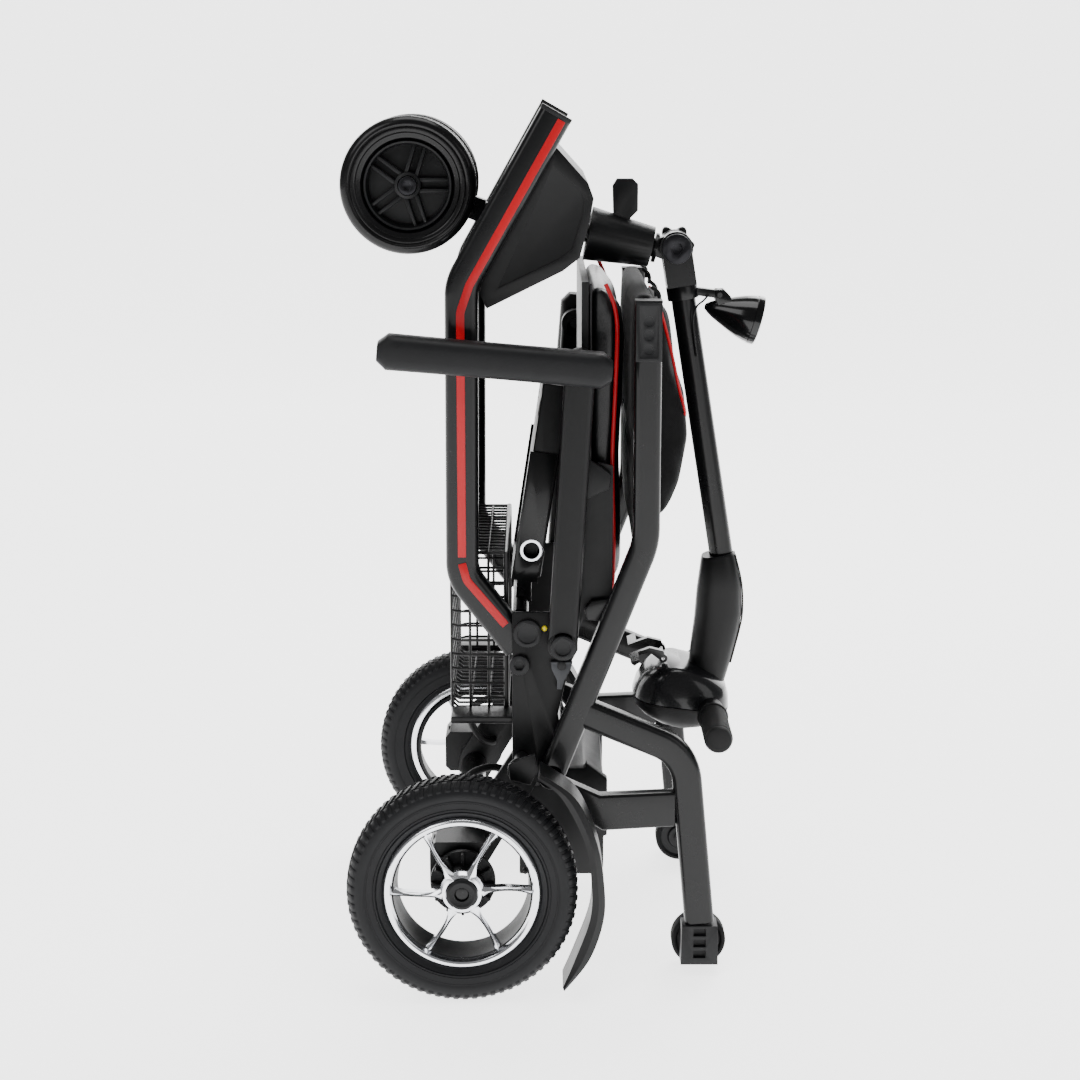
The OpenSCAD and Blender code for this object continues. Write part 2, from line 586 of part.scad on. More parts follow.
module rear_rim_right() rear_rim();

module fold_latch() color("#85888e") both() difference() {
    slab([[-6, 362], [18, 362], [16, 354], [9, 341], [6, 331], [1, 331], [1, 341], [-5, 354]], 184.4, 192);
    rod(latch_at, 3 + fit, 184, 193);
}

chassis_rail_left();
chassis_rail_right();
rail_trims();
frame_caps();
floor_pan();
floor_mat();
front_housing();
steering_head();
hub_plate_left();
hub_plate_right();
side_lamps();
axle_beam();
drive_motors();
controller_box();
wire_basket();
rear_fenders();
motor_cable();
battery_pack();
front_fork();
front_axle();
battery_dock();
front_tyre_left();
front_tyre_right();
front_rim_left();
front_rim_right();
tiller_tube();
fold_pin();
fold_knob();
lamp_bracket();
headlight_shell();
headlight_lens();
lamp_wire();
inner_tube();
tiller_shroud();
pod_cover();
pod_base();
handlebar();
grips();
throttle_lever();
brake_lever();
speed_dial();
back_tubes();
caster_legs();
tube_caps();
back_crossbars();
backrest();
rear_pouch();
seat_pan();
seat_cushion();
arm_post_left();
arm_post_right();
armrest_left();
armrest_right();
caster_left();
caster_right();
rear_tyre_left();
rear_tyre_right();
rear_rim_left();
rear_rim_right();
fold_latch();
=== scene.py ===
"""Folding mobility scooter: the visible pieces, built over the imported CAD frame."""

import logging
import math
from dataclasses import dataclass, field
from enum import Enum
from typing import Any, Sequence

import bmesh
import bpy
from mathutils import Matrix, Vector


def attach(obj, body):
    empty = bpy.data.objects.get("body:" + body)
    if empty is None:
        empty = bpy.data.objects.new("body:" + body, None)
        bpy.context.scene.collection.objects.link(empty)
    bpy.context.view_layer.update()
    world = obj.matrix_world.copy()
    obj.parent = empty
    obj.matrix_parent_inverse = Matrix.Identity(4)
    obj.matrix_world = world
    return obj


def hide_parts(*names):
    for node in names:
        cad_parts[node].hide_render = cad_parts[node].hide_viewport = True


LOG = logging.getLogger("scooter")
MM = 0.001
Point = tuple[float, float]
Point3 = tuple[float, float, float]
Mesh = tuple[list[Vector], list[list[int]]]

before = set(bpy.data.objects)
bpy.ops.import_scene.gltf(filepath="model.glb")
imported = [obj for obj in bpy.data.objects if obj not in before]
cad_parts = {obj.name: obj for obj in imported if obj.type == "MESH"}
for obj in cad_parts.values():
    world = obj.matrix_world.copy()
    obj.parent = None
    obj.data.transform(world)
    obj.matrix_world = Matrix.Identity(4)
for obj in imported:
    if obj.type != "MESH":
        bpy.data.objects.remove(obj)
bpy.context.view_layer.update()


class Side(Enum):
    """The scooter's two sides."""

    LEFT = -1
    RIGHT = 1

    @property
    def word(self) -> str:
        """The side's name as bodies and nodes spell it."""
        return self.name.lower()


class Pattern(Enum):
    """What a surface is covered with."""

    SATIN = "satin"
    GRAIN = "grain"
    BRUSHED = "brushed"
    TURNED = "turned"
    WEAVE = "weave"
    LEATHER = "leather"
    SMOOTH = "smooth"


# ---- shaders ---------------------------------------------------------------------


class Value:
    """A shader socket that adds Math nodes when it is used in an expression."""

    def __init__(self, shade: "Shade", socket: bpy.types.NodeSocket) -> None:
        """Wraps a socket of the tree that shade builds."""
        self.shade = shade
        self.socket = socket

    def _math(self, operation: str, *values: Any) -> "Value":
        """Adds one Math node and returns its result."""
        node = self.shade.node("ShaderNodeMath", {"operation": operation}, dict(enumerate(values)))
        return Value(self.shade, node.outputs[0])

    def __add__(self, other: Any) -> "Value":
        """Sum."""
        return self._math("ADD", self, other)

    def __mul__(self, other: Any) -> "Value":
        """Product."""
        return self._math("MULTIPLY", self, other)

    def __sub__(self, other: Any) -> "Value":
        """Difference."""
        return self._math("SUBTRACT", self, other)

    __radd__ = __add__

    def sine(self) -> "Value":
        """Sine."""
        return self._math("SINE", self)

    def clamped(self) -> "Value":
        """The value held between 0 and 1."""
        node = self.shade.node("ShaderNodeClamp", {}, {"Value": self})
        return Value(self.shade, node.outputs[0])


class Shade:
    """One material's node tree."""

    def __init__(self, name: str) -> None:
        """Starts an empty material with an output and a Principled shader."""
        self.material = bpy.data.materials.new(name)
        self.material.use_nodes = True
        self.tree = self.material.node_tree
        self.tree.nodes.clear()
        self.out = self.node("ShaderNodeOutputMaterial", {}, {})
        self.shader = self.node("ShaderNodeBsdfPrincipled", {}, {})
        self.tree.links.new(self.shader.outputs[0], self.out.inputs[0])
        self.coords = self.node("ShaderNodeTexCoord", {}, {}).outputs["Object"]

    def node(self, kind: str, settings: dict[str, Any], values: dict[Any, Any]) -> bpy.types.Node:
        """Adds a node.

        Args:
            kind: the node's type.
            settings: its own settings, set before its sockets.
            values: numbers, sockets or Values for its inputs, by name or place.

        Returns:
            The node.
        """
        node = self.tree.nodes.new(kind)
        for key, value in settings.items():
            setattr(node, key, value)
        for key, value in values.items():
            if isinstance(value, Value):
                value = value.socket
            if isinstance(value, bpy.types.NodeSocket):
                self.tree.links.new(value, node.inputs[key])
            else:
                node.inputs[key].default_value = value
        return node

    def stretched(self, scale: Point3) -> bpy.types.NodeSocket:
        """Object coordinates times scale."""
        node = self.node("ShaderNodeVectorMath", {"operation": "MULTIPLY"}, {0: self.coords, 1: scale})
        return node.outputs[0]

    def axis(self, name: str) -> Value:
        """One of the object coordinates, in metres."""
        return Value(self, self.node("ShaderNodeSeparateXYZ", {}, {0: self.coords}).outputs[name])

    def noise(self, scale: float, detail: float = 3.0, along: Point3 = (1, 1, 1)) -> Value:
        """Noise from 0 to 1 over the object coordinates."""
        node = self.node("ShaderNodeTexNoise", {},
                         {"Vector": self.stretched(along), "Scale": scale, "Detail": detail})
        return Value(self, node.outputs[0])

    def cells(self, scale: float) -> Value:
        """Distance to the nearest cell edge of a Voronoi pattern."""
        node = self.node("ShaderNodeTexVoronoi", {"feature": "DISTANCE_TO_EDGE"},
                         {"Vector": self.coords, "Scale": scale})
        return Value(self, node.outputs[0])

    def blend(self, factor: Any, low: Sequence[float], high: Sequence[float]) -> bpy.types.NodeSocket:
        """A colour between low and high."""
        node = self.node("ShaderNodeMix", {"data_type": "RGBA"},
                         {0: factor, 6: (*low, 1.0), 7: (*high, 1.0)})
        return node.outputs[2]

    def relief(self, height: Value, strength: float, depth: float) -> None:
        """Feeds a height into the shader's Normal through Bump."""
        node = self.node("ShaderNodeBump", {}, {"Strength": strength, "Distance": depth, "Height": height})
        self.tree.links.new(node.outputs[0], self.shader.inputs["Normal"])


@dataclass(frozen=True)
class Finish:
    """A surface finish and how it is mixed."""

    name: str
    slot: str
    color: Point3
    roughness: float
    pattern: Pattern = Pattern.SATIN
    metallic: float = 0.0
    coat: float = 0.0
    scale: float = 600.0
    strength: float = 0.25
    depth: float = 0.0004
    spread: float = 0.25
    sheen: float = 0.0
    alpha: float = 1.0
    specular: float = 0.2

    def height(self, s: Shade) -> Value:
        """The finish's small relief, from 0 to 1."""
        if self.pattern is Pattern.WEAVE:
            across = (s.axis("Y") * self.scale).sine()
            up = ((s.axis("Z") + s.axis("X")) * self.scale).sine()
            return across * up * 0.35 + 0.5 + s.noise(self.scale * 0.4) * 0.15
        if self.pattern is Pattern.LEATHER:
            return (s.cells(self.scale) * 3.0).clamped() * 0.7 + s.noise(self.scale * 2.2) * 0.3
        if self.pattern is Pattern.GRAIN:
            return (s.cells(self.scale) * 2.0).clamped() * 0.5 + s.noise(self.scale * 1.5, 5.0) * 0.5
        if self.pattern is Pattern.BRUSHED:
            return s.noise(self.scale, 2.0, (1.0, 1.0, 0.03))
        if self.pattern is Pattern.TURNED:
            return s.noise(self.scale, 2.0, (0.15, 3.0, 0.15))
        return s.noise(self.scale, 2.0)

    def made(self) -> bpy.types.Material:
        """The material, built once and then shared."""
        name = f"{self.name}_finish"
        found = bpy.data.materials.get(name)
        if found:
            return found
        s = Shade(name)
        height = self.height(s)
        cloud = s.noise(14.0, 4.0)
        low = tuple(c * (1 - self.spread) for c in self.color)
        high = tuple(min(1.0, c * (1 + self.spread) + 0.001 * self.spread) for c in self.color)
        mixed = (cloud * 0.6 + height * 0.4 - 0.2) * 1.6
        s.tree.links.new(s.blend(mixed.clamped(), low, high), s.shader.inputs["Base Color"])
        rough = self.roughness * 0.85 + s.noise(40.0, 3.0) * (self.roughness * 0.3)
        s.tree.links.new(rough.clamped().socket, s.shader.inputs["Roughness"])
        if self.pattern is not Pattern.SMOOTH:
            s.relief(height, self.strength, self.depth)
        for key, value in (("Metallic", self.metallic), ("Coat Weight", self.coat),
                           ("Coat Roughness", 0.08), ("Sheen Weight", self.sheen), ("Alpha", self.alpha),
                           ("Specular IOR Level", self.specular)):
            s.shader.inputs[key].default_value = value
        return s.material


FRAME_PAINT = Finish("frame_paint", "frame_black", (0.0026, 0.0027, 0.003), 0.28, coat=0.12, scale=900,
                     depth=0.0001)
PLATE_PAINT = Finish("plate_paint", "plate_black", (0.002, 0.0021, 0.0023), 0.4, scale=1400)
TRIM_RED = Finish("trim_red", "trim_red", (0.36, 0.0012, 0.006), 0.4, coat=0.1, scale=300, strength=0.05,
                  spread=0.1)
CAP_GREY = Finish("cap_grey", "cap_grey", (0.0075, 0.0077, 0.0083), 0.42, Pattern.GRAIN, scale=1500)
COVER = Finish("cover_black", "cover_black", (0.0034, 0.0035, 0.0038), 0.38, Pattern.GRAIN, scale=1700,
               strength=0.15)
COVER_GLOSS = Finish("cover_gloss", "cover_black", (0.002, 0.0021, 0.0023), 0.18, coat=0.3, scale=500,
                     strength=0.05)
POD_GREY = Finish("pod_grey", "pod_grey", (0.0075, 0.0078, 0.0086), 0.24, coat=0.35, scale=900,
                  strength=0.08)
MAT = Finish("deck_mat", "deck_mat", (0.003, 0.003, 0.0033), 0.75, Pattern.GRAIN, scale=500)
LAMP = Finish("lamp_yellow", "lamp_yellow", (0.83, 0.66, 0.02), 0.25, coat=0.5, strength=0.05)
WIRE = Finish("wire_black", "wire_black", (0.0025, 0.0025, 0.0028), 0.35, coat=0.1, scale=1200)
CABLE = Finish("cable_black", "cable_black", (0.0022, 0.0022, 0.0024), 0.5, Pattern.GRAIN, scale=900)
BOLT = Finish("bolt_dark", "bolt_dark", (0.016, 0.016, 0.018), 0.32, Pattern.TURNED, metallic=0.7,
              scale=900)
TUBE = Finish("tube_steel", "tube_steel", (0.45, 0.46, 0.48), 0.28, Pattern.BRUSHED, metallic=1.0,
              scale=900)
FRONT_TYRE = Finish("front_tyre_rubber", "front_tyre_black", (0.002, 0.002, 0.0023), 0.26, coat=0.15,
                    scale=500)
REAR_TYRE = Finish("rear_tyre_rubber", "rear_tyre_black", (0.0036, 0.0038, 0.0046), 0.5, Pattern.GRAIN,
                   scale=700)
RIM_DARK = Finish("rim_dark", "rim_dark", (0.0045, 0.0047, 0.0052), 0.42, Pattern.GRAIN, scale=1300)
SILVER = Finish("rim_silver", "rim_silver", (0.80, 0.81, 0.84), 0.16, Pattern.TURNED, metallic=1.0,
                scale=260, strength=0.12, spread=0.06)
LENS = Finish("lens_clear", "lens_clear", (0.86, 0.88, 0.90), 0.08, Pattern.SMOOTH, coat=1.0, spread=0.05,
              alpha=0.3)
REFLECTOR = Finish("lamp_reflector", "lens_clear", (0.9, 0.91, 0.93), 0.3, Pattern.SMOOTH, metallic=0.6)
GRIP = Finish("grip_rubber", "grip_rubber", (0.0035, 0.0035, 0.0038), 0.55, Pattern.GRAIN, scale=900)
PAD = Finish("pad_foam", "pad_charcoal", (0.0042, 0.0044, 0.005), 0.5, Pattern.GRAIN, scale=900,
             strength=0.3)
LEATHER = Finish("seat_leather", "seat_leather", (0.003, 0.0033, 0.004), 0.34, Pattern.LEATHER, scale=420,
                 coat=0.1, strength=0.3, depth=0.0005, specular=0.3)
MESH_CLOTH = Finish("mesh_cloth", "mesh_fabric", (0.0026, 0.0026, 0.003), 0.8, Pattern.WEAVE, scale=2600,
                    strength=0.6, depth=0.0006, sheen=0.05)
LATCH = Finish("latch_grey", "latch_grey", (0.045, 0.047, 0.052), 0.35, Pattern.GRAIN, scale=1200,
               strength=0.15)


# ---- shapes ----------------------------------------------------------------------


def unit(a: Point, b: Point) -> Vector:
    """Direction from a to b in a side view."""
    return (Vector(b) - Vector(a)).normalized()


def rounded(path: Sequence[Point], radius: float, steps: int = 14) -> list[Point]:
    """The path with its inner corners turned into arcs.

    Args:
        path: side-view points.
        radius: corner radius in millimetres.
        steps: points on each corner.

    Returns:
        The longer path.
    """
    out: list[Point] = [tuple(path[0])]
    for before, corner, after in zip(path, path[1:], path[2:]):
        u, v, a = unit(corner, before), unit(corner, after), Vector(corner)
        half = u.angle(v) / 2
        cut = radius / math.tan(half)
        start, end = a + u * cut, a + v * cut
        centre = a + (u + v).normalized() * radius / math.sin(half)
        for k in range(steps + 1):
            arm = (start - centre).slerp(end - centre, k / steps).normalized() * radius
            out.append(tuple(centre + arm))
    out.append(tuple(path[-1]))
    return out


def offset(path: Sequence[Point], distance: float) -> list[Point]:
    """The path moved sideways by distance, mitred at its corners."""
    out = []
    for i, p in enumerate(path):
        t0 = unit(path[i - 1], p) if i else unit(p, path[1])
        t1 = unit(p, path[i + 1]) if i < len(path) - 1 else t0
        n0 = Vector((-t0.y, t0.x))
        b = Vector((-t0.y - t1.y, t0.x + t1.x)).normalized()
        out.append(tuple(Vector(p) + b * distance / max(b.dot(n0), 0.2)))
    return out


def arc(centre: Point, radius: float, start: float, end: float, steps: int) -> list[Point]:
    """Points on an arc, its angles in degrees."""
    return [(centre[0] + radius * math.cos(math.radians(a)), centre[1] + radius * math.sin(math.radians(a)))
            for a in (start + (end - start) * k / steps for k in range(steps + 1))]


def joined(*meshes: Mesh) -> Mesh:
    """Several meshes as one."""
    verts: list[Vector] = []
    faces: list[list[int]] = []
    for vs, fs in meshes:
        faces += [[i + len(verts) for i in f] for f in fs]
        verts += vs
    return verts, faces


def sideways(mesh: Mesh, side: Side) -> Mesh:
    """The mesh as it is on that side, mirrored for the left."""
    return [Vector((v.x, v.y * side.value, v.z)) for v in mesh[0]], mesh[1]


def both(mesh: Mesh) -> Mesh:
    """The mesh and its mirror image."""
    return joined(*(sideways(mesh, side) for side in Side))


def loft(rings: Sequence[Sequence[Point3]]) -> Mesh:
    """A capped skin over rings that all have the same number of points."""
    n = len(rings[0])
    verts = [Vector(p) for ring in rings for p in ring]
    faces = []
    for r in range(len(rings) - 1):
        a, b = r * n, (r + 1) * n
        faces += [[a + k, a + (k + 1) % n, b + (k + 1) % n, b + k] for k in range(n)]
    return verts, faces + [list(range(n)), [len(verts) - 1 - k for k in range(n)]]


def lathe(profile: Sequence[Point], centre: Point, steps: int = 96, base: float = 0.0) -> Mesh:
    """A closed profile of (radius, y) points turned about an axle along Y, y counted from base."""
    rings = []
    for k in range(steps):
        c, s = math.cos(2 * math.pi * k / steps), math.sin(2 * math.pi * k / steps)
        rings.append([(centre[0] + r * c, base + y, centre[1] + r * s) for r, y in profile])
    n = len(profile)
    verts = [Vector(p) for ring in rings for p in ring]
    faces = []
    for k in range(steps):
        a, b = k * n, (k + 1) % steps * n
        for i in range(n):
            j = (i + 1) % n
            faces.append([a + i, a + j, b + j, b + i])
    return verts, faces


def prism(outline: Sequence[Point], y0: float, y1: float, bevel: float = 0.0, segments: int = 3) -> Mesh:
    """A side outline given thickness from y0 to y1, with rolled edges.

    Args:
        outline: closed side outline in millimetres.
        y0: near face.
        y1: far face.
        bevel: width of the rolled edge.
        segments: steps on that edge.

    Returns:
        The mesh.
    """
    bm = bmesh.new()
    near = [bm.verts.new((x, y0, z)) for x, z in outline]
    far = [bm.verts.new((x, y1, z)) for x, z in outline]
    bm.faces.new(near)
    bm.faces.new(list(reversed(far)))
    for k in range(len(outline)):
        j = (k + 1) % len(outline)
        bm.faces.new([near[j], near[k], far[k], far[j]])
    return rolled(bm, bevel, segments)


def rolled(bm: bmesh.types.BMesh, bevel: float, segments: int, angle: float = 28.0) -> Mesh:
    """The mesh with every edge sharper than angle rolled over; frees bm."""
    bmesh.ops.recalc_face_normals(bm, faces=bm.faces[:])
    if bevel > 0:
        edges = [e for e in bm.edges if len(e.link_faces) == 2 and e.calc_face_angle(0) > math.radians(angle)]
        bmesh.ops.bevel(bm, geom=edges, offset=bevel, offset_type="OFFSET", segments=segments, profile=0.5,
                        affect="EDGES", clamp_overlap=True)
    bm.verts.index_update()
    out = ([v.co.copy() for v in bm.verts], [[v.index for v in f.verts] for f in bm.faces])
    bm.free()
    return out


def oval(rx: float, ry: float, power: float, steps: int) -> list[Point]:
    """A rounded box outline: power 2 is an ellipse, and more is squarer."""
    out = []
    for k in range(steps):
        c, s = math.cos(2 * math.pi * k / steps), math.sin(2 * math.pi * k / steps)
        out.append((rx * math.copysign(abs(c) ** (2 / power), c),
                    ry * math.copysign(abs(s) ** (2 / power), s)))
    return out


def beam(path: Sequence[Point], depth: float, y0: float, y1: float, corner: float) -> Mesh:
    """A tube of rounded box section swept along a side-view path."""
    half_w, half_d, mid = (y1 - y0) / 2, depth / 2, (y0 + y1) / 2
    section = []
    for cx, cy, start in ((half_d - corner, half_w - corner, 0), (corner - half_d, half_w - corner, 90),
                          (corner - half_d, corner - half_w, 180), (half_d - corner, corner - half_w, 270)):
        section += arc((cx, cy), corner, start, start + 90, 4)
    rings = []
    sides = [offset(path, across) for across, _ in section]
    for i in range(len(path)):
        rings.append([(line[i][0], mid + y, line[i][1]) for line, (_, y) in zip(sides, section)])
    return loft(rings)


def disc(centre: Point, radius: float, y0: float, y1: float, edge: float = 0.8, steps: int = 64) -> Mesh:
    """A round boss with a rolled edge."""
    return lathe([(0.01, y0), (radius, y0), (radius, y1 - edge), (radius - edge * 0.3, y1 - edge * 0.3),
                  (radius - edge, y1), (0.01, y1)], centre, steps)


class Shop:
    """Turns meshes in millimetres into finished pieces on the CAD's bodies."""

    def __init__(self) -> None:
        """Starts with nothing made."""
        self.made: list[bpy.types.Object] = []

    def piece(self, name: str, mesh: Mesh, finish: Finish, body: str, *nodes: str, crease: float = 32.0,
              smooth: int = 0) -> bpy.types.Object:
        """Makes one piece.

        Args:
            name: the piece's name.
            mesh: points in millimetres, and faces.
            finish: its finish.
            body: the CAD body that it rides on.
            nodes: CAD nodes that it stands for.
            crease: angle in degrees above which an edge shades sharp.
            smooth: levels of subdivision.

        Returns:
            The object.
        """
        data = bpy.data.meshes.new(name)
        data.from_pydata([tuple(v * MM) for v in mesh[0]], [], mesh[1])
        return self.finished(name, data, finish, body, *nodes, crease=crease, smooth=smooth)

    def finished(self, name: str, data: bpy.types.Mesh, finish: Finish, body: str, *nodes: str,
                 crease: float = 32.0, smooth: int = 0) -> bpy.types.Object:
        """Makes one piece from mesh data in metres; the arguments are piece()'s."""
        bm = bmesh.new()
        bm.from_mesh(data)
        bmesh.ops.remove_doubles(bm, verts=bm.verts[:], dist=2e-6)
        bmesh.ops.dissolve_degenerate(bm, dist=1e-7, edges=bm.edges[:])
        bmesh.ops.recalc_face_normals(bm, faces=bm.faces[:])
        bm.to_mesh(data)
        bm.free()
        data.shade_smooth()
        data.set_sharp_from_angle(angle=math.radians(crease))
        data.materials.clear()
        data.materials.append(finish.made())
        obj = bpy.data.objects.new(name, data)
        bpy.context.scene.collection.objects.link(obj)
        if smooth:
            sub = obj.modifiers.new("smooth", "SUBSURF")
            sub.levels = sub.render_levels = smooth
        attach(obj, body)
        if nodes:
            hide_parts(*nodes)
        self.made.append(obj)
        LOG.info("%s: %d faces on %s", name, len(data.polygons), body)
        return obj

    def softened(self, node: str, finish: Finish, body: str, width: float, segments: int = 2,
                 crease: float = 32.0) -> bpy.types.Object:
        """A copy of a CAD node with its edges rolled, standing for that node."""
        bm = bmesh.new()
        bm.from_mesh(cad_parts[node].data)
        bmesh.ops.scale(bm, vec=(1000, 1000, 1000), verts=bm.verts[:])
        bmesh.ops.remove_doubles(bm, verts=bm.verts[:], dist=0.002)
        bmesh.ops.dissolve_limit(bm, angle_limit=math.radians(1.2), verts=bm.verts[:], edges=bm.edges[:])
        return self.piece(node + "_shell", rolled(bm, width, segments, 30.0), finish, body, node,
                          crease=crease)


SHOP = Shop()


# ---- geometry nodes --------------------------------------------------------------


class Tree:
    """A geometry tree with named inputs, run once on an object and turned into a mesh."""

    def __init__(self, name: str) -> None:
        """Starts a tree with a geometry input and output."""
        self.group = bpy.data.node_groups.new(name, "GeometryNodeTree")
        self.group.interface.new_socket("Geometry", in_out="OUTPUT", socket_type="NodeSocketGeometry")
        self.add("Geometry", "NodeSocketGeometry")
        self.source = self.group.nodes.new("NodeGroupInput")
        self.sink = self.group.nodes.new("NodeGroupOutput")

    def add(self, name: str, kind: str) -> str:
        """Adds a named input and returns its identifier."""
        return self.group.interface.new_socket(name, in_out="INPUT", socket_type=kind).identifier

    def node(self, kind: str, settings: dict[str, Any], values: dict[Any, Any]) -> bpy.types.Node:
        """Adds a node; the arguments are as in Shade.node."""
        node = self.group.nodes.new(kind)
        for key, value in settings.items():
            setattr(node, key, value)
        for key, value in values.items():
            if isinstance(value, bpy.types.NodeSocket):
                self.group.links.new(value, node.inputs[key])
            else:
                node.inputs[key].default_value = value
        return node

    def end(self, geometry: bpy.types.NodeSocket, finish: bpy.types.NodeSocket) -> None:
        """Realizes the geometry, paints it and sends it out."""
        real = self.node("GeometryNodeRealizeInstances", {}, {0: geometry})
        painted = self.node("GeometryNodeSetMaterial", {}, {0: real.outputs[0], 2: finish})
        self.group.links.new(painted.outputs[0], self.sink.inputs[0])

    def run(self, obj: bpy.types.Object, values: dict[str, Any]) -> bpy.types.Mesh:
        """Evaluates the tree on an object.

        Args:
            obj: the object that goes in, which is removed afterwards.
            values: the inputs, by identifier.

        Returns:
            The mesh that comes out.
        """
        modifier = obj.modifiers.new("tree", "NODES")
        modifier.node_group = self.group
        for key, value in values.items():
            modifier[key] = value
        bpy.context.view_layer.update()
        data = bpy.data.meshes.new_from_object(obj.evaluated_get(bpy.context.evaluated_depsgraph_get()))
        obj.modifiers.clear()
        bpy.data.objects.remove(obj)
        return data


def linked(name: str, verts: Sequence[Sequence[float]], edges: Sequence[Sequence[int]],
           faces: Sequence[Sequence[int]]) -> bpy.types.Object:
    """A scratch object in the scene, its points in millimetres."""
    data = bpy.data.meshes.new(name)
    data.from_pydata([tuple(Vector(v) * MM) for v in verts], edges, faces)
    obj = bpy.data.objects.new(name, data)
    bpy.context.scene.collection.objects.link(obj)
    return obj


def as_mesh(data: bpy.types.Mesh) -> Mesh:
    """Mesh data in metres as a mesh in millimetres."""
    return [v.co / MM for v in data.vertices], [list(p.vertices) for p in data.polygons]


class RoundRow:
    """Copies of a piece set evenly round an axle along Y."""

    def __init__(self) -> None:
        """Builds the tree."""
        t = Tree("round_row")
        self.count = t.add("Count", "NodeSocketInt")
        self.centre = t.add("Centre", "NodeSocketVector")
        self.finish = t.add("Finish", "NodeSocketMaterial")
        points = t.node("GeometryNodePoints", {}, {0: t.source.outputs[1], 1: t.source.outputs[2]})
        index = t.node("GeometryNodeInputIndex", {}, {})
        step = t.node("ShaderNodeMath", {"operation": "DIVIDE"}, {0: 2 * math.pi, 1: t.source.outputs[1]})
        angle = t.node("ShaderNodeMath", {"operation": "MULTIPLY"}, {0: index.outputs[0],
                                                                     1: step.outputs[0]})
        turn = t.node("ShaderNodeCombineXYZ", {}, {1: angle.outputs[0]})
        copies = t.node("GeometryNodeInstanceOnPoints", {},
                        {"Points": points.outputs[0], "Instance": t.source.outputs[0],
                         "Rotation": turn.outputs[0]})
        t.end(copies.outputs[0], t.source.outputs[3])
        self.tree = t

    def made(self, mesh: Mesh, count: int, centre: Point, finish: Finish) -> Mesh:
        """Copies a mesh whose own axle is at (0, 0) round centre, in millimetres."""
        seed = linked("row_seed", mesh[0], [], mesh[1])
        return as_mesh(self.tree.run(seed, {self.count: count, self.finish: finish.made(),
                                            self.centre: (centre[0] * MM, 0.0, centre[1] * MM)}))


class Strand:
    """Round wire, cord or piping laid along lines."""

    def __init__(self) -> None:
        """Builds the tree."""
        t = Tree("strand")
        self.radius = t.add("Radius", "NodeSocketFloat")
        self.sides = t.add("Sides", "NodeSocketInt")
        self.finish = t.add("Finish", "NodeSocketMaterial")
        line = t.node("GeometryNodeMeshToCurve", {}, {0: t.source.outputs[0]})
        ring = t.node("GeometryNodeCurvePrimitiveCircle", {},
                      {"Resolution": t.source.outputs[2], "Radius": t.source.outputs[1]})
        skin = t.node("GeometryNodeCurveToMesh", {},
                      {"Curve": line.outputs[0], "Profile Curve": ring.outputs[0], "Fill Caps": True})
        t.end(skin.outputs[0], t.source.outputs[3])
        self.tree = t

    def made(self, lines: Sequence[Sequence[Point3]], radius: float, finish: Finish, closed: bool = False,
             sides: int = 12) -> Mesh:
        """Wire along each line, in millimetres; closed joins each line's ends."""
        verts: list[Point3] = []
        edges = []
        for line in lines:
            n = len(verts)
            verts += line
            edges += [(n + k, n + k + 1) for k in range(len(line) - 1)]
            if closed:
                edges.append((n + len(line) - 1, n))
        seed = linked("strand_seed", verts, edges, [])
        return as_mesh(self.tree.run(seed, {self.radius: radius * MM, self.sides: sides,
                                            self.finish: finish.made()}))


ROUND_ROW = RoundRow()
STRAND = Strand()


def spline(points: Sequence[Point3], steps: int = 8) -> list[Point3]:
    """A smooth line through points."""
    last = len(points) - 1
    out = []
    for i in range(last):
        a, b, c, d = (Vector(points[min(max(k, 0), last)]) for k in (i - 1, i, i + 1, i + 2))
        for k in range(steps):
            t = k / steps
            out.append(tuple(0.5 * (2 * b + (c - a) * t + (2 * a - 5 * b + 4 * c - d) * t * t
                                    + (3 * b - a - 3 * c + d) * t ** 3)))
    out.append(tuple(points[-1]))
    return out


def corded(name: str, line: Sequence[Point3], radius: float, diameter: float, sides: int, body: str,
           *nodes: str, crease: float) -> None:
    """Args:
        name: the piece's name.
        line: its middle line in millimetres.
        radius: its drawn radius in millimetres.
        diameter: its diameter in metres, which is not used.
        sides: how many sides its section has.
        body: the body that carries it.
        nodes: CAD nodes that it stands for.
        crease: angle above which an edge shades sharp.
    """
    obj = SHOP.piece(name, STRAND.made([line], radius, CABLE, sides=sides), CABLE, body, *nodes,
                     crease=crease)
    path = [tuple(c * MM for c in p) for p in line]


# ---- sub-assemblies ----------------------------------------------------------------

REAR_AXLE: Point = (-103.0, 127.0)
FRONT_AXLE: Point = (-166.0, 877.0)
BACK_PIVOT: Point = (-5.0, 235.0)
CASTER: Point = (163.0, 31.0)
TILLER: Point = (138.0, 804.0)
BAR: Point = (183.0, 267.0)
POST_PIVOT: Point = (7.0, 385.0)
PAD_PIVOT: Point = (25.5, 695.0)


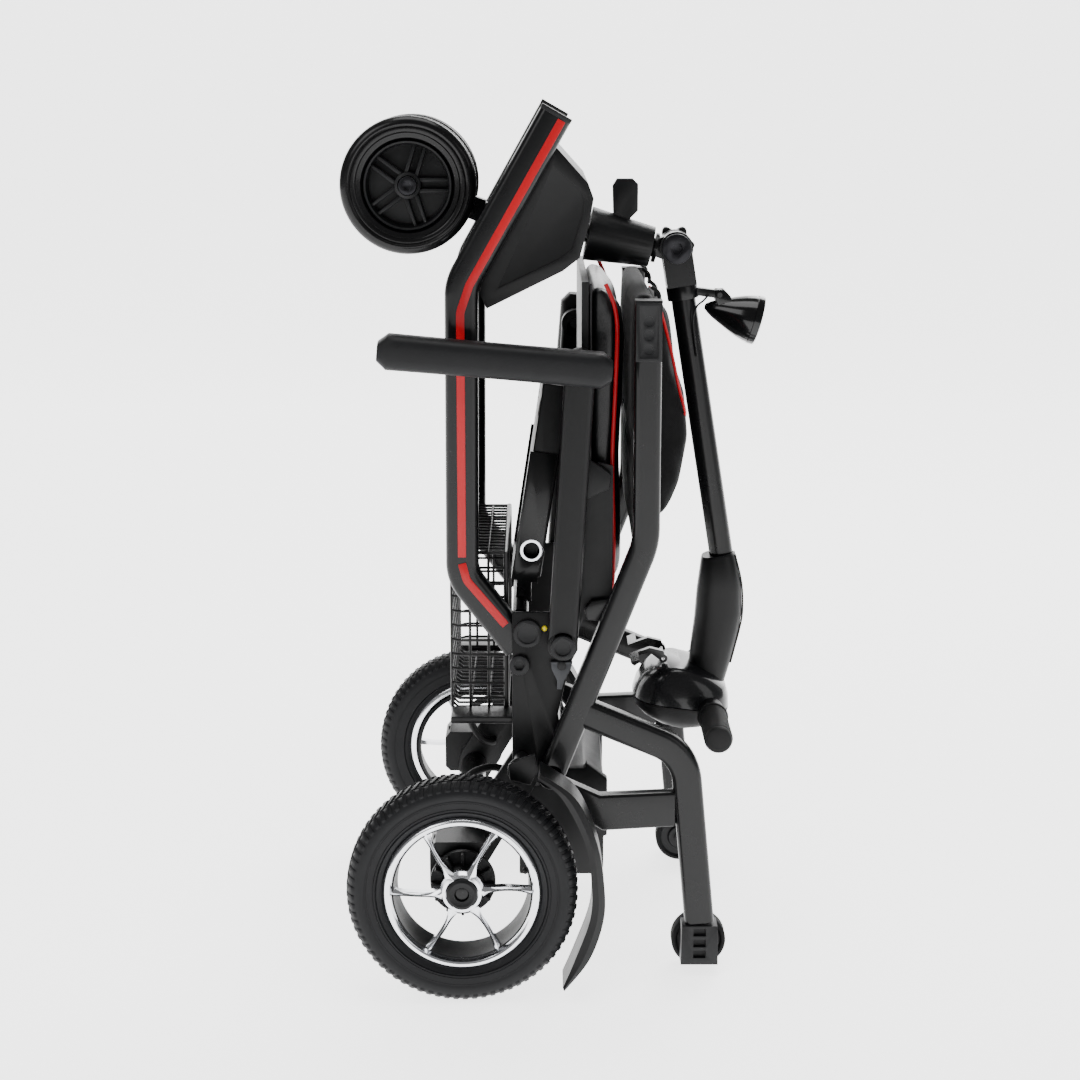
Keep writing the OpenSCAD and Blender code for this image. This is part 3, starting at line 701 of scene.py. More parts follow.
@dataclass
class Chassis:
    """The two side rails and what is fixed to them."""

    rail: list[Point] = field(default_factory=lambda: [(-2, 956), (-103, 777), (-104, 455), (-42, 375)])
    rail_depth: float = 36.0
    rail_in: float = 150.0
    rail_out: float = 178.0
    bend: float = 46.0

    def rails(self) -> None:
        """The rounded rail on each side."""
        for side in Side:
            mesh = beam(rounded(self.rail, self.bend), self.rail_depth, self.rail_in, self.rail_out, 8.0)
            SHOP.piece(f"rail_{side.word}", sideways(mesh, side), FRAME_PAINT, "chassis",
                       f"chassis_rail_{side.word}", crease=60)
        SHOP.softened("rail_trims", TRIM_RED, "chassis", 0.5)
        SHOP.softened("frame_caps", CAP_GREY, "chassis", 0.7)

    def deck(self) -> None:
        """The floor, its mat, and the cover over the nose."""
        SHOP.softened("floor_pan", FRAME_PAINT, "chassis", 3.0)
        SHOP.softened("floor_mat", MAT, "chassis", 1.2)
        SHOP.softened("front_housing", COVER, "chassis", 3.0, 3)
        SHOP.softened("steering_head", COVER, "chassis", 1.2)

    def hub(self) -> None:
        """The fold's side plates and the axle with its motors and boxes."""
        for side in Side:
            SHOP.softened(f"hub_plate_{side.word}", PLATE_PAINT, "chassis", 0.8)
        SHOP.softened("side_lamps", LAMP, "chassis", 0.5)
        SHOP.softened("axle_beam", FRAME_PAINT, "chassis", 1.0)
        SHOP.softened("drive_motors", COVER, "chassis", 2.5, 3)
        SHOP.softened("controller_box", COVER, "chassis", 3.0, 3)
        SHOP.softened("battery_dock", FRAME_PAINT, "chassis", 0.8)
        SHOP.softened("battery_pack", COVER, "battery", 3.0, 3)
        self.socket()
        SHOP.softened("fold_latch", LATCH, "latch", 1.0)

    def socket(self) -> None:
        """The charging socket's bright ring on the battery's near face."""
        ring = lathe([(9.6, -94.5), (13.0, -94.5), (13.0, -95.15), (12.7, -95.22), (9.9, -95.22),
                      (9.6, -95.15)], (-27.73, 467.45), 64)
        SHOP.piece("socket_ring", ring, SILVER, "battery")

    def basket(self, x0: float = -118, x1: float = -56, z0: float = 289, z1: float = 474,
               half: float = 138) -> None:
        """The welded wire basket and its two brackets."""
        fine, rim = [], []
        for i in range(12):
            z = z0 + (z1 - z0) * i / 11
            fine.append([(x1, -half, z), (x0 + 8, -half, z), (x0, 8 - half, z), (x0, half - 8, z),
                         (x0 + 8, half, z), (x1, half, z)])
        for i in range(17):
            y = (half - 6) * (i / 8 - 1)
            fine.append([(x1, y, z0), (x0 + 6, y, z0), (x0 - 0.2, y, z0 + 6), (x0 - 0.2, y, z1 - 6),
                         (x0 + 6, y, z1), (x1, y, z1)])
        for x in (-97, -76):
            rim.append([(x, -half, z0), (x, half, z0), (x, half, z1), (x, -half, z1)])
        mouth = [(x1, -half, z0), (x1, half, z0), (x1, half, z1), (x1, -half, z1)]
        wires = STRAND.made(fine, 1.5, WIRE, sides=8)
        bands = STRAND.made(rim, 1.5, WIRE, closed=True, sides=8)
        edge = STRAND.made([mouth], 3.0, WIRE, closed=True, sides=12)
        bracket = prism([(x0, z0 - 2), (-40, z0 - 2), (-40, z0 + 6), (x0, z0 + 6)], half - 4, self.rail_out,
                        1.5)
        SHOP.piece("basket_wires", joined(wires, bands, edge, both(bracket)), WIRE, "chassis",
                   "wire_basket", crease=50)

    def fenders(self) -> None:
        """The wheel arches, each a rolled strip with a return along its outer edge."""
        outer = spline([(-18, 264), (20, 236), (42, 190), (51, 145), (52, 99), (37, 52), (9, 15)], 8)
        inner = spline([(-20, 257), (6, 235), (31, 184), (38, 139), (37, 99), (21, 52), (7, 18)], 8)
        shell = []
        for side in Side:
            rings = []
            for k, (a, b) in enumerate(zip(outer, inner)):
                t = k / (len(outer) - 1)
                lip = 4 + 10 * math.sin(math.pi * min(1, max(0, t)))
                ox, oz = a
                ix, iz = b
                mx, mz = (ix + ox) / 2, (iz + oz) / 2
                rings.append([(ix, 238, iz), (ix, 287, iz), (mx, 290, mz), (ox, 290 - lip * 0.4, oz),
                              (ox, 240, oz), (mx, 236, mz)])
            shell.append(sideways(loft(rings), side))
            stay = [(-51, 240), (-29, 234), (-20, 250), (-24, 270), (-36, 266), (-53, 257)]
            shell.append(sideways(prism(stay, 232, 236, 0.8), side))
        SHOP.piece("wheel_arches", joined(*shell), COVER, "chassis", "rear_fenders", crease=30)

    def cables(self) -> None:
        """The motor cables, each from the control box round to its motor."""
        route = [(-21, 112.8, 199), (-21, 119, 199), (-25, 125, 202), (-46, 133, 213), (-72, 140, 224),
                 (-98, 146, 216), (-106, 150, 192), (-94, 156, 168), (-80, 161, 160), (-78, 165, 160),
                 (-78, 169.2, 160)]
        for side in Side:
            line = [(x, y * side.value, z) for x, y, z in spline(route, 6)]
            nodes = ["motor_cable"] if side is Side.LEFT else []
            corded(f"motor_cable_{side.word}", line, 4.45, 0.0089, 12, "chassis", *nodes, crease=50)

    def build(self) -> None:
        """Builds every piece of the chassis."""
        self.rails()
        self.deck()
        self.hub()
        self.basket()
        self.fenders()
        self.cables()


@dataclass
class Wheels:
    """Rear wheels, the twin front wheels and the stand casters."""

    rear_in: float = 240.0
    rear_width: float = 50.0
    rear_radius: float = 127.0
    blocks: int = 76
    crown: float = 15.0
    front_in: float = 22.0
    front_width: float = 40.0
    front_radius: float = 77.0
    caster_in: float = 160.0

    def tyre_profile(self, radius: float, bead: float, y0: float, width: float, crown: float,
                     grooves: int = 0) -> list[Point]:
        """A tyre's section: bead, bulging wall, shoulder and crown, with grooves round the crown."""
        y1, mid = y0 + width, y0 + width / 2
        wall = [(bead, y0 + 6), (bead + 3, y0 + 2.5), (bead + 6, y0 + 1.2), (bead + 7, y0 + 2.0),
                (bead + 8, y0 + 0.8), ((bead + radius) / 2, y0), (radius - crown * 1.7, y0 + 1.2)]
        roll = arc((radius - crown, y0 + crown), crown, 245, 340, 8)
        tread = []
        for k in range(grooves * 4 + 1):
            y = y0 + crown * 0.8 + (width - 1.6 * crown) * k / (grooves * 4) if grooves else mid
            dip = 1.6 if grooves and k % 4 in (1, 2) else 0.0
            tread.append((radius - dip - 0.6 * ((y - mid) / (width / 2)) ** 2, y))
        back = [(r, y0 + y1 - y) for r, y in reversed(roll)] + [(r, y0 + y1 - y) for r, y in reversed(wall)]
        return wall + roll + tread + back

    def rear(self, side: Side) -> None:
        """One driven wheel."""
        name, y0, w, radius = side.word, self.rear_in, self.rear_width, self.rear_radius
        body = f"rear_wheel_{name}"
        tyre = lathe(self.tyre_profile(radius - 1.6, 87, y0 + 0.6, w - 1.2, self.crown, 4), REAR_AXLE, 144)
        block = prism([(radius - 9, -3.1), (radius - 0.4, -2.8), (radius - 0.4, 2.8), (radius - 9, 3.1)],
                      0, 10, 0.7, 2)
        lug = [Vector((v.x, v.y, v.z + 0.22 * (10 - v.y))) for v in block[0]]
        blocks = []
        for far in (False, True):
            shaped = [Vector((v.x, y0 + w - 2.2 - v.y if far else y0 + 2.2 + v.y,
                              v.z + (2.4 if far else 0))) for v in lug]
            for v in shaped:
                edge = min(v.y - y0, y0 + w - v.y)
                v.x -= self.crown - math.sqrt(max(0.0, self.crown ** 2 - max(0.0, self.crown - edge) ** 2))
            blocks.append(ROUND_ROW.made((shaped, block[1]), self.blocks, REAR_AXLE, REAR_TYRE))
        small = prism([(radius - 6, -3.4), (radius - 0.3, -3.0), (radius - 0.3, 1.4), (radius - 6, 1.8)],
                      y0 + w / 2 - 9, y0 + w / 2 + 9, 0.7, 2)
        twisted = [Vector((v.x, v.y, v.z + 0.35 * (v.y - y0 - w / 2))) for v in small[0]]
        centre = ROUND_ROW.made((twisted, small[1]), self.blocks, REAR_AXLE, REAR_TYRE)
        beads = [lathe([(r - 0.7, y0 + w - 1.9), (r, y0 + w - 0.4), (r + 0.7, y0 + w - 1.9)], REAR_AXLE,
                       144) for r in (97.0, 104.5)]
        SHOP.piece(f"rear_tyre_{name}_tread", sideways(joined(tyre, *blocks, centre, *beads), side),
                   REAR_TYRE, body, f"rear_tyre_{name}", crease=38)
        self.rear_rim(side)

    def rear_rim(self, side: Side) -> None:
        """The machined rim with its six flared spokes, dark barrel and cap."""
        name, y0 = side.word, self.rear_in + 1
        body = f"rear_wheel_{name}"
        lip = [(76, 40), (78.5, 46.5), (80, 47.4), (82, 47.8), (84, 47.0),
               (86.4, 43.5), (87, 39), (87, 8), (84, 6), (79, 6), (76, 9),
               (75.4, 20)]
        rim = lathe(lip, REAR_AXLE, 144, y0)
        spoke = []
        for k in range(15):
            t = k / 14
            r = 13 + 65.5 * t
            half = 2.5 + 8.0 * max(0.0, 1 - t * 2.4) ** 2 + 3.4 * max(0.0, t - 0.72) ** 1.5 * 5
            sweep = 3.4 * math.sin(t * math.pi * 0.95)
            lift = 45.2 - 5.5 * math.sin(t * math.pi * 0.55)
            deep = 10 + 6 * (1 - t)
            spoke.append([(r, y0 + lift, sweep - half * 0.45), (r, y0 + lift + 0.9, sweep),
                          (r, y0 + lift, sweep + half * 0.45), (r, y0 + lift - 2.0, sweep + half),
                          (r, y0 + lift - deep, sweep + half * 0.8), (r, y0 + lift - deep,
                                                                      sweep - half * 0.8),
                                                                      (r, y0 + lift - 2.0, sweep - half)])
        spokes = ROUND_ROW.made(loft(spoke), 6, REAR_AXLE, SILVER)
        hub = lathe([(17.5, 30), (24, 32), (24.5, 41), (21.5, 44.6), (18.2, 45.4),
                     (17.5, 44)], REAR_AXLE, 96, y0)
        SHOP.piece(f"rear_rim_{name}_silver", sideways(joined(rim, spokes, hub), side), SILVER, body,
                   f"rear_rim_{name}", crease=35)
        barrel = lathe([(72.5, 1), (76, 3), (76, 40), (75.2, 40), (74.6, 20),
                        (72.0, 6)], REAR_AXLE, 120, y0)
        drum = lathe([(8, 1), (34, 1), (36, 3), (36, 10), (24, 13), (21, 29),
                      (17.6, 30), (17.6, 45.0), (16.6, 48.5), (14, 49.6), (11.5, 48.8),
                      (8, 48.4)], REAR_AXLE, 96, y0)
        ribs = ROUND_ROW.made(prism([(20, -1.4), (35, -1.4), (35, 1.4), (20, 1.4)], y0 + 9, y0 + 20, 0.5),
                              12, REAR_AXLE, RIM_DARK)
        SHOP.piece(f"rear_hub_{name}", sideways(joined(barrel, drum, ribs), side), RIM_DARK, body,
                   crease=35)
        valve = lathe([(0.01, 30), (2.6, 30), (2.6, 37), (1.8, 38), (1.8, 44),
                       (0.01, 44)], (REAR_AXLE[0] + 69, REAR_AXLE[1] + 24), 24, y0)
        SHOP.piece(f"valve_{name}", sideways(valve, side), CABLE, body, crease=35)

    def front(self, side: Side) -> None:
        """One of the twin front wheels."""
        name, body = side.word, f"front_wheel_{side.word}"
        y0, w, radius = self.front_in, self.front_width, self.front_radius
        profile = [(50, 6), (53, 1.5), (58, 0.6), (59, 1.6), (60.5, 0.6),
                   (64, 0.9), (65, 2.1), (66.5, 1.3)]
        profile += arc((radius - 9, 10), 9, 262, 345, 8)
        for k in range(17):
            y = 9 + 22 * k / 16
            profile.append((radius - (1.3 if k % 4 in (1, 2) else 0) - 0.004 * (y - 20) ** 2, y))
        profile += [(r, w - y) for r, y in reversed(profile[:17])]
        SHOP.piece(f"front_tyre_{name}_solid", sideways(lathe(profile, FRONT_AXLE, 128, y0), side),
                   FRONT_TYRE, body, f"front_tyre_{name}", crease=40)
        rim = lathe([(44, 6), (45, 33), (47, 38.4), (49, 38.8), (50, 36),
                     (50, 6)], FRONT_AXLE, 96, y0)
        hub = lathe([(6.2, 1), (15, 1), (15.6, 30), (14.6, 38), (11.5, 39.2),
                     (11, 36), (6.2, 36)], FRONT_AXLE, 72, y0)
        rib = prism([(13, -2.4), (46, -1.9), (46, 1.9), (13, 2.4)], y0 + 22, y0 + 35.5, 1.0)
        spokes = []
        for shift in (-6.0, 6.0):
            moved = [Vector((v.x, v.y - max(0.0, v.x - 20) * 0.06, v.z + shift)) for v in rib[0]]
            spokes.append(ROUND_ROW.made((moved, rib[1]), 5, FRONT_AXLE, RIM_DARK))
        web = lathe([(14, 18), (45.5, 16), (45.5, 20), (14, 22)], FRONT_AXLE, 72, y0)
        SHOP.piece(f"front_rim_{name}_ribs", sideways(joined(rim, hub, web, *spokes), side), RIM_DARK, body,
                   f"front_rim_{name}", crease=35)
        ring = lathe([(7.2, 35.8), (10.8, 35.8), (10.8, 37.6), (9.9, 38.2),
                      (8.0, 38.2), (7.2, 37.6)], FRONT_AXLE, 64, y0)
        SHOP.piece(f"front_bearing_{name}", sideways(ring, side), SILVER, body)

    def caster(self, side: Side) -> None:
        """One stand caster: a grey wheel with a rubber tread."""
        y0 = self.caster_in
        core = lathe([(4.1, 0.5), (14, 0.5), (16, 4), (24, 4), (26, 2), (26, 22),
                      (24, 20), (16, 20), (14, 23.5), (4.1, 23.5)], CASTER, 72, y0)
        tread = lathe([(26, 1.5)] + arc((27, 4.5), 4, 260, 350, 6)
                      + [(r, 24 - y) for r, y in reversed(arc((27, 4.5), 4, 260, 350, 6))]
                      + [(26, 22.5)], CASTER, 96, y0)
        body = f"caster_wheel_{side.word}"
        SHOP.piece(f"caster_core_{side.word}", sideways(core, side), CAP_GREY, body, f"caster_{side.word}")
        SHOP.piece(f"caster_tread_{side.word}", sideways(tread, side), MAT, body, crease=50)

    def build(self) -> None:
        """Builds all eight wheels."""
        for side in Side:
            self.rear(side)
            self.front(side)
            self.caster(side)
        SHOP.softened("front_fork", FRAME_PAINT, "fork", 0.8)
        SHOP.softened("front_axle", BOLT, "fork", 0.5)


@dataclass
class Tiller:
    """The steering column with its lamp, shroud and control pod."""

    lean: float = 9.2
    sections: list[tuple[float, float, float, float]] = field(default_factory=lambda: [
        (192, 443.6, 18.6, 21), (192.6, 441, 20.0, 22.6), (194.5, 405, 26.6, 23), (194, 370, 28.7, 23.4),
        (191, 348, 28.3, 23.4), (188, 331, 27.2, 23.2), (184.5, 308, 25, 22.6), (181, 286, 22, 22)])

    upper: list[tuple[float, float, float, float]] = field(default_factory=lambda: [
        (207, 262.6, 93, 262.6), (206.5, 276, 93, 276), (203, 288, 97, 290), (190, 300, 104, 302),
        (170, 311, 116, 312), (150, 315.5, 130, 315.5)])
    lower: list[tuple[float, float, float, float]] = field(default_factory=lambda: [
        (207, 261.6, 93, 275), (205, 254, 95, 266), (196, 247, 103, 257), (180, 242.5, 118, 248.5),
        (160, 240.5, 138, 243)])
    pod_half: float = 60.0
    pod_narrowing: float = 14.0
    lamp_tilt: float = 15.5
    lamp_radius: float = 28.5
    lamp_edge: Point = (243.0, 719.0)

    def along(self, distance: float, x: float, y: float) -> Point3:
        """A point distance down the tiller from its fold pin, set off by x and y."""
        a = math.radians(self.lean)
        return (TILLER[0] + distance * math.sin(a) + x * math.cos(a), y,
                TILLER[1] - distance * math.cos(a) + x * math.sin(a))

    def column(self) -> None:
        """The tube, its clamp and the star knob."""
        SHOP.softened("tiller_tube", FRAME_PAINT, "tiller", 1.2, crease=36)
        SHOP.softened("fold_pin", BOLT, "tiller", 0.6)
        SHOP.softened("lamp_bracket", FRAME_PAINT, "tiller", 0.7)
        SHOP.softened("inner_tube", TUBE, "tiller_head", 0.3)
        lobes = []
        for k in range(96):
            a = 2 * math.pi * k / 96
            lobes.append((TILLER[0] + (20.3 + 3.4 * math.cos(6 * a)) * math.cos(a),
                          TILLER[1] + (20.3 + 3.4 * math.cos(6 * a)) * math.sin(a)))
        knob = joined(prism(lobes, 25, 38, 2.0, 4), disc(TILLER, 15, 22.5, 26),
                      disc(TILLER, 9, 37, 39.6, 1.2))
        bore = [Vector(v) for v in knob[0]]
        SHOP.piece("star_knob_cap", (bore, knob[1]), COVER, "star_knob", "fold_knob", crease=40)

    def shroud(self) -> None:
        """The moulded sleeve that carries the control pod."""
        rings = []
        for x, z, half, deep in self.sections:
            a = math.radians(self.lean)
            rings.append([(x + ox * math.cos(a), oy, z + ox * math.sin(a)) for ox,
                          oy in oval(half, deep, 2.6, 48)])
        SHOP.piece("tiller_sleeve", loft(rings), COVER, "tiller_head", "tiller_shroud", crease=45)
        spines = []
        for y in (-9.0, 9.0):
            spines.append([(x + half * 0.985, y, z + half * 0.16) for x, z, half, _ in self.sections[1:7]])
        spine = STRAND.made([spline(s, 4) for s in spines], 1.1, COVER, sides=10)
        SHOP.piece("sleeve_ribs", spine, COVER_GLOSS, "tiller_head", crease=60)

    def pod(self) -> None:
        """The two halves of the control pod, and the collars for the bar."""
        for name, node, finish, sizes in (("pod_upper", "pod_cover", POD_GREY, self.upper),
                                          ("pod_lower", "pod_base", COVER, self.lower)):
            rings = []
            for k, (x1, z1, x0, z0) in enumerate(sizes):
                t = k / (len(sizes) - 1)
                half_y = self.pod_half - self.pod_narrowing * t ** 2.2
                cx, cz, hx = (x0 + x1) / 2, (z0 + z1) / 2, (x1 - x0) / 2
                slope = (z1 - z0) / max(x1 - x0, 1.0)
                rings.append([(cx + ox, oy, cz + ox * slope) for ox, oy in oval(hx, half_y, 3.2, 64)])
            if node == "pod_cover":
                rings[0] = [(x, y, 276 - (x - 93) * 13.4 / 114 + 0.3) for x, y, _ in rings[0]]
            SHOP.piece(name, loft(rings), finish, "tiller_head", node, crease=40)
        collar = lathe([(9.2, 54), (14.5, 54), (14.5, 74), (13, 79), (9.2, 80)], BAR, 48)
        SHOP.piece("bar_collars", both(collar), COVER, "tiller_head", crease=45)

    def bar(self) -> None:
        """The bar, its ribbed grips, the levers and the dial."""
        SHOP.softened("handlebar", FRAME_PAINT, "tiller_head", 0.5)
        profile = [(9, 82), (9, 172), (0.01, 172), (0.01, 177.9), (10, 177.9), (14, 176.9), (15.6, 174)]
        for k in range(27):
            y = 171.0 - 3.0 * k
            if y > 91:
                profile += [(15.6, y), (16.3, y - 0.6), (16.3, y - 1.7), (15.3, y - 2.3)]
        profile += [(15.5, 89.5), (17.6, 88.6), (18.2, 86.5), (17.6, 84.4), (15, 83.2)]
        SHOP.piece("grip_sleeves", both(lathe(profile, BAR, 64)), GRIP, "tiller_head", "grips", crease=35)
        for node, body in (("throttle_lever", "throttle"), ("brake_lever", "brake")):
            SHOP.softened(node, COVER_GLOSS, body, 1.4)
        SHOP.softened("speed_dial", CAP_GREY, "dial", 0.8)

    def lamp(self) -> None:
        """The headlight: a flared shell, a reflector and a fluted glass."""
        tilt = math.radians(self.lamp_tilt)
        front = (self.lamp_edge[0] - self.lamp_radius * math.sin(tilt), self.lamp_edge[1])

        def placed(mesh: Mesh) -> Mesh:
            """Turns a lamp mesh, whose axis runs along Y from its front face, into place."""
            out = []
            for v in mesh[0]:
                s, u = v.y, v.x
                out.append(Vector((front[0] + s * math.cos(tilt) + u * math.sin(tilt), v.z,
                                   front[1] - s * math.sin(tilt) + u * math.cos(tilt))))
            return out, mesh[1]

        shell = lathe([(0.01, -65.5), (3, -65), (7, -60), (11, -53), (15.5, -43), (20, -33), (24, -23),
                       (26.8, -13), (27.4, -8.5), (28.4, -8), (28.4, -1.0), (27.6, 0), (26, 0),
                       (25.4, -3.5), (24.2, -4), (14, -24), (0.01, -25)], (0, 0), 96)
        SHOP.piece("lamp_shell", placed(shell), COVER_GLOSS, "headlight", "headlight_shell", crease=32)
        ear = prism([(184, 756), (194, 756), (202, 748), (204, 734), (190, 732), (184, 744)], 7.4, 10.4,
                    0.8)
        SHOP.piece("lamp_ears", joined(both(ear), disc((189, 750), 3, -12, 12)), COVER_GLOSS, "headlight")
        bowl = lathe([(25, -3.6), (20, -9), (14, -17), (7, -22), (0.01, -22.6), (0.01, -23.2), (7.5, -22.8),
                      (14.6, -17.6), (20.6, -9.6), (25.4, -4.4)], (0, 0), 72)
        SHOP.piece("lamp_bowl", placed(bowl), REFLECTOR, "headlight", crease=50)
        glass = lathe([(0.01, -2.8), (24, -2.8), (24.8, -2.0), (24, 0.5), (17, 2.5), (9, 3.8), (0.01, 4.3)],
                      (0, 0), 72)
        flutes = ROUND_ROW.made(prism([(5, -0.5), (22.6, -0.9), (22.6, 0.9), (5, 0.5)], -2.6, -1.0, 0.2),
                                20, (0, 0), LENS)
        SHOP.piece("lamp_glass", placed(joined(glass, flutes)), LENS, "headlight", "headlight_lens",
                   crease=40)
        route = [(176, -8, 750), (170, -14, 744), (162, -16, 737), (158, -16, 722), (160, -16, 700),
                 (163, -16, 680)]
        corded("lamp_lead", spline(route, 6), 1.2, 0.0024, 10, "tiller", "lamp_wire", crease=60)

    def build(self) -> None:
        """Builds the whole tiller."""
        self.column()
        self.shroud()
        self.pod()
        self.bar()
        self.lamp()


@dataclass
class BackFrame:
    """The tubes that carry the seat back and stand on the casters."""

    back: list[Point] = field(default_factory=lambda: [(-5, 235), (98, 500), (98, 761)])
    leg: list[Point] = field(default_factory=lambda: [(20, 312), (143, 260), (162, 62)])
    tube_in: float = 186.0
    tube_out: float = 211.0
    pad_length: float = 249.0
    pad_start: float = 33.0
    pad_middle: float = 233.2

    def tubes(self) -> None:
        """The seat-back tubes and the legs with their braces."""
        tube = beam(rounded(self.back, 90), 29, self.tube_in, self.tube_out, 7)
        boss = disc(BACK_PIVOT, 14.5, self.tube_in, self.tube_out, 1.0)
        ear = prism([(34, 408), (56, 408), (66, 420), (72, 440), (56, 432), (38, 430), (31, 420)], 181,
                    self.tube_in, 1.0)
        pin = disc((42, 418), 5, 170.6, 182, 0.5)
        leg = beam(rounded(self.leg, 52), 33, self.tube_in + 0.5, self.tube_out - 0.5, 7)
        brace = prism([(4, 214), (6, 232), (49, 212), (134, 216), (134, 176), (52, 171), (22, 190)], 189,
                      208, 3.0)
        SHOP.piece("seat_back_tubes", both(joined(tube, boss, ear, pin)), FRAME_PAINT, "back_frame",
                   "back_tubes", crease=45)
        SHOP.piece("stand_legs", both(joined(leg, brace)), FRAME_PAINT, "back_frame", "caster_legs",
                   crease=45)
        SHOP.softened("tube_caps", CAP_GREY, "back_frame", 0.8)
        SHOP.softened("back_crossbars", FRAME_PAINT, "back_frame", 0.5)

    def posts(self) -> None:
        """The arm posts."""
        for side in Side:
            post = beam([POST_PIVOT, (18, 567), PAD_PIVOT], 33, self.tube_in, self.tube_out, 7)
            ends = [disc(c, 16.5, self.tube_in, self.tube_out, 1.0) for c in (POST_PIVOT, PAD_PIVOT)]
            ear = prism([(34, 545), (58, 556), (60, 572), (50, 580), (34, 590), (10, 590), (10, 545)], 181,
                        self.tube_in, 1.0)
            pin = disc((54, 568), 5, 170.6, 182, 0.5)
            mesh = joined(post, *ends, ear, pin)
            SHOP.piece(f"post_{side.word}_tube", sideways(mesh, side), PLATE_PAINT, f"post_{side.word}",
                       f"arm_post_{side.word}", crease=45)

    def pads(self) -> None:
        """The armrest pads: long rounded foam blocks on their swivels."""
        for side, turned in ((Side.LEFT, 5.0), (Side.RIGHT, -85.0)):
            a = math.radians(turned)
            rings = []
            for k in range(25):
                t = k / 24
                u = self.pad_start - self.pad_length * t
                end = max(0.0, 1 - min(t, 1 - t) / 0.035)
                grow = math.sqrt(max(0.0, 1 - end ** 2)) * 0.45 + 0.55
                waist = 1 - 0.035 * math.sin(math.pi * t)
                ring = []
                for ox, oy in oval(19.3 * grow * waist, 19.8 * (0.6 + 0.4 * grow), 3.4, 40):
                    x, z, y = u, ox, self.pad_middle + oy
                    ring.append((PAD_PIVOT[0] + x * math.cos(a) + z * math.sin(a), y,
                                 PAD_PIVOT[1] - x * math.sin(a) + z * math.cos(a)))
                rings.append(ring)
            pad = SHOP.piece(f"arm_pad_{side.word}", sideways(loft(rings), side), PAD, f"pad_{side.word}",
                             f"armrest_{side.word}", crease=60)
            shaft = disc(PAD_PIVOT, 6, 184, 216, 0.5)
            SHOP.piece(f"pad_swivel_{side.word}", sideways(shaft, side), BOLT, f"pad_{side.word}")

    def build(self) -> None:
        """Builds the folding frame."""
        self.tubes()
        self.posts()
        self.pads()


